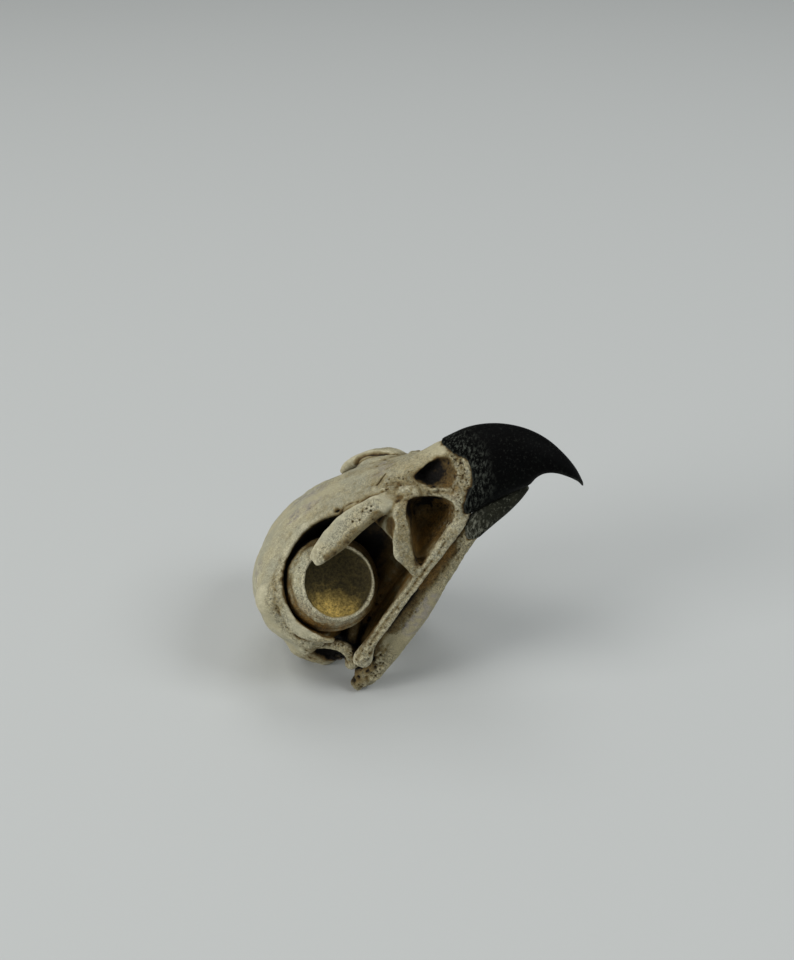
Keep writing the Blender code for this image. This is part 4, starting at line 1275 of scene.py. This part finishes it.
# Warm, Brown and Deep are laid on by how deep in a hollow a point lies: brown wash and painted shade
bonePaints = ("Pale", "Cool", "Warm", "Brown", "Deep", "Worn", "Grey", "Yellow")
tint = {
    "broad": (7, 5),  # these noises are (size in mm, detail, roughness)
    "fine": (1.1, 6, 0.7),
    "patch": (1.6, 6, 0.75),
    "grain": (0.4, 4, 0.8),
    "cloud": (2.2, 5, 0.7),
    "cool": (11, 4, 0.65, 0.4, 0.62),  # and these also say from where to where they set in
    "grey": (2.5, 5, 0.6, 0.38, 0.66),
    "yellow": (3, 5, 0.6, 0.34, 0.6),
    "flecks": (0.8, 5, 0.8, 0.4, 0.6),
    "warmStep": (0.16, 0.38),  # how deep the wash and painted shade lie where each paint sets in and where it covers all
    "brownStep": (0.34, 0.54),
    "deepStep": (0.54, 0.84),
    "wornStep": (0.54, 0.7),  # on the ridge mask
    "keptStep": (0.6, 0.3),  # edges out in the open keep their wear
    "broadSway": (0.5, 0.3),  # each sway is (middle, amount) of a noise
    "fineSway": (0.5, 0.28),
    "patchSway": (0.46, 0.6),
    "cloudSway": (0.5, 0.4),
    "crease": 1.1,  # how much creases, coarse bone and the wash-and-shade mask deepen the brown wash and painted shade
    "porous": 0.1,
    "wash_and_shade": 0.36,
    "ochreKeeps": 0.6,  # how far ochre keeps the deepest paint away
    "yellowShare": 0.85,
    "wornSway": 0.15,
    "worn": 0.75,
    # how dark the pores and pits are painted: painted shade
    "pores": 0.78,
    "grainShare": (1.3, 1.0),  # in coarse bone, and everywhere
    "fleckMiddle": 0.55,
    "fleckShare": (0.46, 0.07),
    "rough": (0.25, 0.5),
}


def makeBoneTint():
    # pale paint with a brown wash that pools in the hollows and is rubbed off the edges, and painted shade
    # that darkens the hollows, creases and pits
    ins = {"Float": (*boneMasks, "Pores"), "Color": bonePaints}
    tree, given, wanted = newGroup("boneTint", ins, {"Color": ("Color",), "Float": ("Rough",)})
    cavity, ridge, porous, stains, ochre, wash_and_shade = (Field(given[name]) for name in boneMasks)
    fine = noiseOf(tree, *tint["fine"])
    sway = noiseOf(tree, *tint["broad"]).about(*tint["broadSway"]) + fine.about(*tint["fineSway"])
    # depth is how closed in, creased and washed a point is, and the paints laid on by it are brown wash and
    # painted shade
    depth = cavity + sway + ((0.5 - ridge) * tint["crease"]).orMore(0.0)
    depth += porous * (noiseOf(tree, *tint["patch"]).about(*tint["patchSway"]) + tint["porous"])
    depth += wash_and_shade * tint["wash_and_shade"]
    worn = (ridge + sway * tint["wornSway"]).step(*tint["wornStep"]) * tint["worn"]
    layers = [
        ("Cool", patchesOf(tree, *tint["cool"])),
        ("Grey", stains * patchesOf(tree, *tint["grey"])),
        ("Warm", depth.step(*tint["warmStep"])),
        ("Brown", depth.step(*tint["brownStep"])),
        ("Yellow", ochre * patchesOf(tree, *tint["yellow"]) * tint["yellowShare"]),
        ("Deep", (depth - ochre * tint["ochreKeeps"]).step(*tint["deepStep"])),
        ("Worn", worn * (cavity + wash_and_shade).step(*tint["keptStep"])),
        # the pores and pits take the deep paint: painted shade in the holes
        ("Deep", Field(given["Pores"]) * tint["pores"]),
    ]
    base = given["Pale"]
    for paint, amount in layers:
        base = blend(tree, amount, base, given[paint])
    dapple = (noiseOf(tree, *tint["grain"]) - 0.5) * porous.ramp(*tint["grainShare"])
    dapple += noiseOf(tree, *tint["cloud"]).about(*tint["cloudSway"])
    dapple += (patchesOf(tree, *tint["flecks"]) - tint["fleckMiddle"]) * porous.ramp(*tint["fleckShare"])
    plug(dimmed(tree, base, dapple + 1.0), wanted["Color"])
    plug(fine.ramp(*tint["rough"]), wanted["Rough"])
    return tree


poresGroup, tintGroup = makePores(), makeBoneTint()


def rgb(colour):
    # a colour as it is seen on a screen, from 0 to 255
    return tuple(((c / 255 + 0.055) / 1.055) ** 2.4 if c > 10 else c / 255 / 12.92 for c in colour) + (1,)


def newMaterial(name):
    material = bpy.data.materials.new(name)
    material.use_nodes = True
    return material, material.node_tree.nodes["Principled BSDF"]


def dress(shader, values, colour, rough, height):
    relief = {"Height": height, "Strength": values["grain"], "Distance": values["relief"] * mm}
    plug(colour, shader.inputs["Base Color"])
    plug(rough, shader.inputs["Roughness"])
    plug(put(shader.id_data, "Bump", relief).outputs[0], shader.inputs["Normal"])
    plug(values["shine"], shader.inputs["Specular IOR Level"])


def makeBone(name, values):
    material, shader = newMaterial(name)
    tree = material.node_tree
    pores = {socket: mask(tree, socket.lower()) for socket in ("Porous", "Pits")}
    pores = put(tree, "Group", pores, node_tree=poresGroup).outputs
    paint = {socket: mask(tree, socket.lower()) for socket in boneMasks}
    paint.update({socket: rgb(values[socket.lower()]) for socket in bonePaints}, Pores=pores["Dark"])
    paint = put(tree, "Group", paint, node_tree=tintGroup).outputs
    dress(shader, values, paint["Color"], paint["Rough"], pores["Height"])
    return material


boneColours = {
    "pale": (167, 160, 131),
    "cool": (155, 152, 130),
    # warm, brown and deep darken the hollows, creases and pits: brown wash and painted shade
    "warm": (132, 121, 88),
    "brown": (88, 70, 37),
    "deep": (11, 7, 3),
    "worn": (186, 180, 152),
    "grey": (138, 132, 122),
    "yellow": (120, 90, 42),
    "grain": 0.9,
    "relief": 0.4,  # mm
    "shine": 0.22,
}
jawColours = {
    **boneColours,
    "pale": (158, 150, 120),
    "cool": (144, 137, 108),
    "warm": (124, 112, 78),
    "brown": (96, 79, 45),
    "worn": (172, 165, 136),
}
ringColours = {
    **boneColours,
    "pale": (178, 174, 147),
    "cool": (166, 164, 141),
    "warm": (128, 118, 86),
    # the bowl's dark is brown paint with painted shade, and its ochre is paint with a painted highlight
    "bowlShadeDark": (66, 58, 32),
    "bowlLitOchre": (226, 194, 106),
}
bowlPaint = {  # (size in mm, detail, roughness) of a noise, and from where to where it sets in
    "patches": (2.6, 6, 0.7),
    "patchSway": (0.5, 0.9),
    "patchStep": (0.05, 0.95),
    "specks": (0.5, 4, 0.8, 0.56, 0.68),
    "speckShare": 0.45,
    "flecks": (0.9, 5, 0.8, 0.38, 0.62),
    "fleckShare": (0.9, 0.5),
}


def makeRingBone(name, values):
    # the bowl inside the ring is darker and browner, with painted shade at its top, and ochre with a painted
    # highlight where it turns up to the light
    material, paint = makeBone(name, values), bowlPaint
    tree = material.node_tree
    base = tree.nodes["Principled BSDF"].inputs["Base Color"]
    outside, dark = base.links[0].from_socket, rgb(values["bowlShadeDark"])
    patchy = mask(tree, "ochre") + noiseOf(tree, *paint["patches"]).about(*paint["patchSway"])
    bowl = blend(tree, patchy.step(*paint["patchStep"]), dark, rgb(values["bowlLitOchre"]))
    bowl = blend(tree, patchesOf(tree, *paint["specks"]) * paint["speckShare"], bowl, dark)
    bowl = dimmed(tree, bowl, patchesOf(tree, *paint["flecks"]).ramp(*paint["fleckShare"]))
    plug(blend(tree, mask(tree, "bowl"), outside, bowl), base)
    return material


hornColours = {
    "black": (1, 1, 1),
    "sheen": (2, 3, 3),
    "dust": (64, 67, 61),
    "rough": 0.42,
    "grain": 0.9,
    "relief": 0.2,  # mm
    "shine": 0.05,
    "flecks": 0.2,
}
lowHornColours = {
    **hornColours,
    "black": (30, 31, 24),
    "sheen": (48, 48, 38),
    "dust": (116, 117, 104),
    "rough": 0.45,
    "flecks": 0.5,
}
hornPaint = {  # (size in mm, detail, roughness) of a noise, and from where to where it sets in
    "streak": (1, 1, 0.35),
    "worms": (0.8, 5, 0.75),
    "wormStep": (0.47, 0.6),
    "rearShare": (4, 0.35),  # (size in mm, amount) of the dust's wavering edge
    "rearStep": (0.3, 0.95),
    "flecks": (0.85, 5, 0.75, 0.54, 0.66),
    "wornStep": (0.56, 0.72),
    "worn": 0.5,
    "sheen": (9, 4, 0.6, 0.4, 0.7),
    "rough": (2.2, 5),
    "uneven": 0.3,
    "roughStep": (0.1, 0.9),
    "rearRough": 0.35,
    "relief": (0.7, 5, 0.7),
    "reliefShare": 0.5,
}


def makeHorn(name, values):
    # black, with pale dust in fine worm tracks near the rear edge
    material, shader = newMaterial(name)
    tree, paint = material.node_tree, hornPaint
    rear, (size, share) = mask(tree, "rear"), paint["rearShare"]
    streak = put(tree, "Mapping", {"Vector": here(tree), "Scale": paint["streak"]}).outputs[0]
    dust = noiseOf(tree, *paint["worms"], streak).step(*paint["wormStep"])
    dust *= (rear + noiseOf(tree, size) * share).step(*paint["rearStep"])
    flecks = patchesOf(tree, *paint["flecks"]) * values["flecks"]
    worn = mask(tree, "ridge").step(*paint["wornStep"]) * paint["worn"]
    base = blend(tree, patchesOf(tree, *paint["sheen"]), rgb(values["black"]), rgb(values["sheen"]))
    for amount in (dust, flecks, worn):
        base = blend(tree, amount, base, rgb(values["dust"]))
    uneven = noiseOf(tree, *paint["rough"]) * paint["uneven"]
    rough = uneven + rear.step(*paint["roughStep"]) * paint["rearRough"] + values["rough"]
    height = noiseOf(tree, *paint["relief"]) * paint["reliefShare"] + dust
    dress(shader, values, base, rough, height)
    return material


palette = {
    "pale_bone": makeBone("pale_bone", boneColours),
    "grey_bone": makeBone("grey_bone", jawColours),
    "ring_bone": makeRingBone("ring_bone", ringColours),
    "black_horn": makeHorn("black_horn", hornColours),
    "lower_horn": makeHorn("lower_horn", lowHornColours),
}
print("materials made")


# Everything is tipped back into the pose in which the skull lies

wears = {skull: "pale_bone", upper: "black_horn", lowerSheath: "lower_horn"}
for piece in pieces:
    worn = wears.get(piece, "ring_bone" if piece in rings else "grey_bone")
    piece.data.transform(headPose)
    points = pointsOf(piece.data)
    points[:, 2] = np.maximum(points[:, 2], 0)  # nothing reaches into the table
    piece.data.vertices.foreach_set("co", (points * mm).ravel())
    piece.data.shade_smooth()
    piece.data.materials.append(palette[worn])
    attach(piece, "root")

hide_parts("braincase", "skull_roof", "orbital_septum", "bill_base")
for bone in ("brow", "pillar", "cheek_bar", "palate"):
    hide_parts(bone + "_right", bone + "_left")
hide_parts("upper_bill_sheath")
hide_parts("lower_bill_sheath")
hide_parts("lower_jaw_right", "lower_jaw_left")
for piece, side in zip(quadrates, ("right", "left")):
    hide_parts("quadrate_" + side)
for piece, side in zip(rings, ("right", "left")):
    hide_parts("eye_ring_" + side)


# The studio: a pale floor and soft light from both sides

studio = {
    "floor": (195, 198, 197),
    "floorRough": 0.85,
    "floorSize": 12.0,
    "world": 0.235,
    "worldColour": (0.97, 1, 1, 1),
    "aim": (0, 0, 0.03),
    "lamps": [  # (x, y, z) in metres, width, power in watts, colour
        ((-1.05, -0.6, 2.3), 1.1, 16.5, (1, 0.985, 0.96)),
        ((1.5, -0.3, 1.6), 0.9, 15.5, (0.97, 0.985, 1)),
        ((0.0, 1.0, 2.4), 1.2, 10.5, (1, 1, 1)),
        ((-1.7, -1.2, 0.7), 0.9, 24.0, (1, 0.99, 0.97)),
    ],
}


def makeStudio(values):
    bm = bmesh.new()
    bmesh.ops.create_grid(bm, x_segments=1, y_segments=1, size=values["floorSize"] / 2)
    floor = newPiece("floor", meshFrom(bm))
    material, shader = newMaterial("floor")
    plug(rgb(values["floor"]), shader.inputs["Base Color"])
    plug(values["floorRough"], shader.inputs["Roughness"])
    floor.data.materials.append(material)
    for number, (place, size, power, colour) in enumerate(values["lamps"]):
        lamp = bpy.data.lights.new("lamp%d" % number, "AREA")
        lamp.size, lamp.energy, lamp.color = size, power, colour
        stand = bpy.data.objects.new(lamp.name, lamp)
        stand.location = place
        toward = Vector(values["aim"]) - Vector(place)
        stand.rotation_euler = toward.to_track_quat("-Z", "Y").to_euler()
        bpy.context.scene.collection.objects.link(stand)
    world = bpy.data.worlds.new("studio")
    world.use_nodes = True
    sky = world.node_tree.nodes["Background"].inputs
    sky["Strength"].default_value = values["world"]
    sky["Color"].default_value = values["worldColour"]
    bpy.context.scene.world = world
    bpy.context.scene.view_settings.view_transform = "Standard"


makeStudio(studio)
print("studio lit")
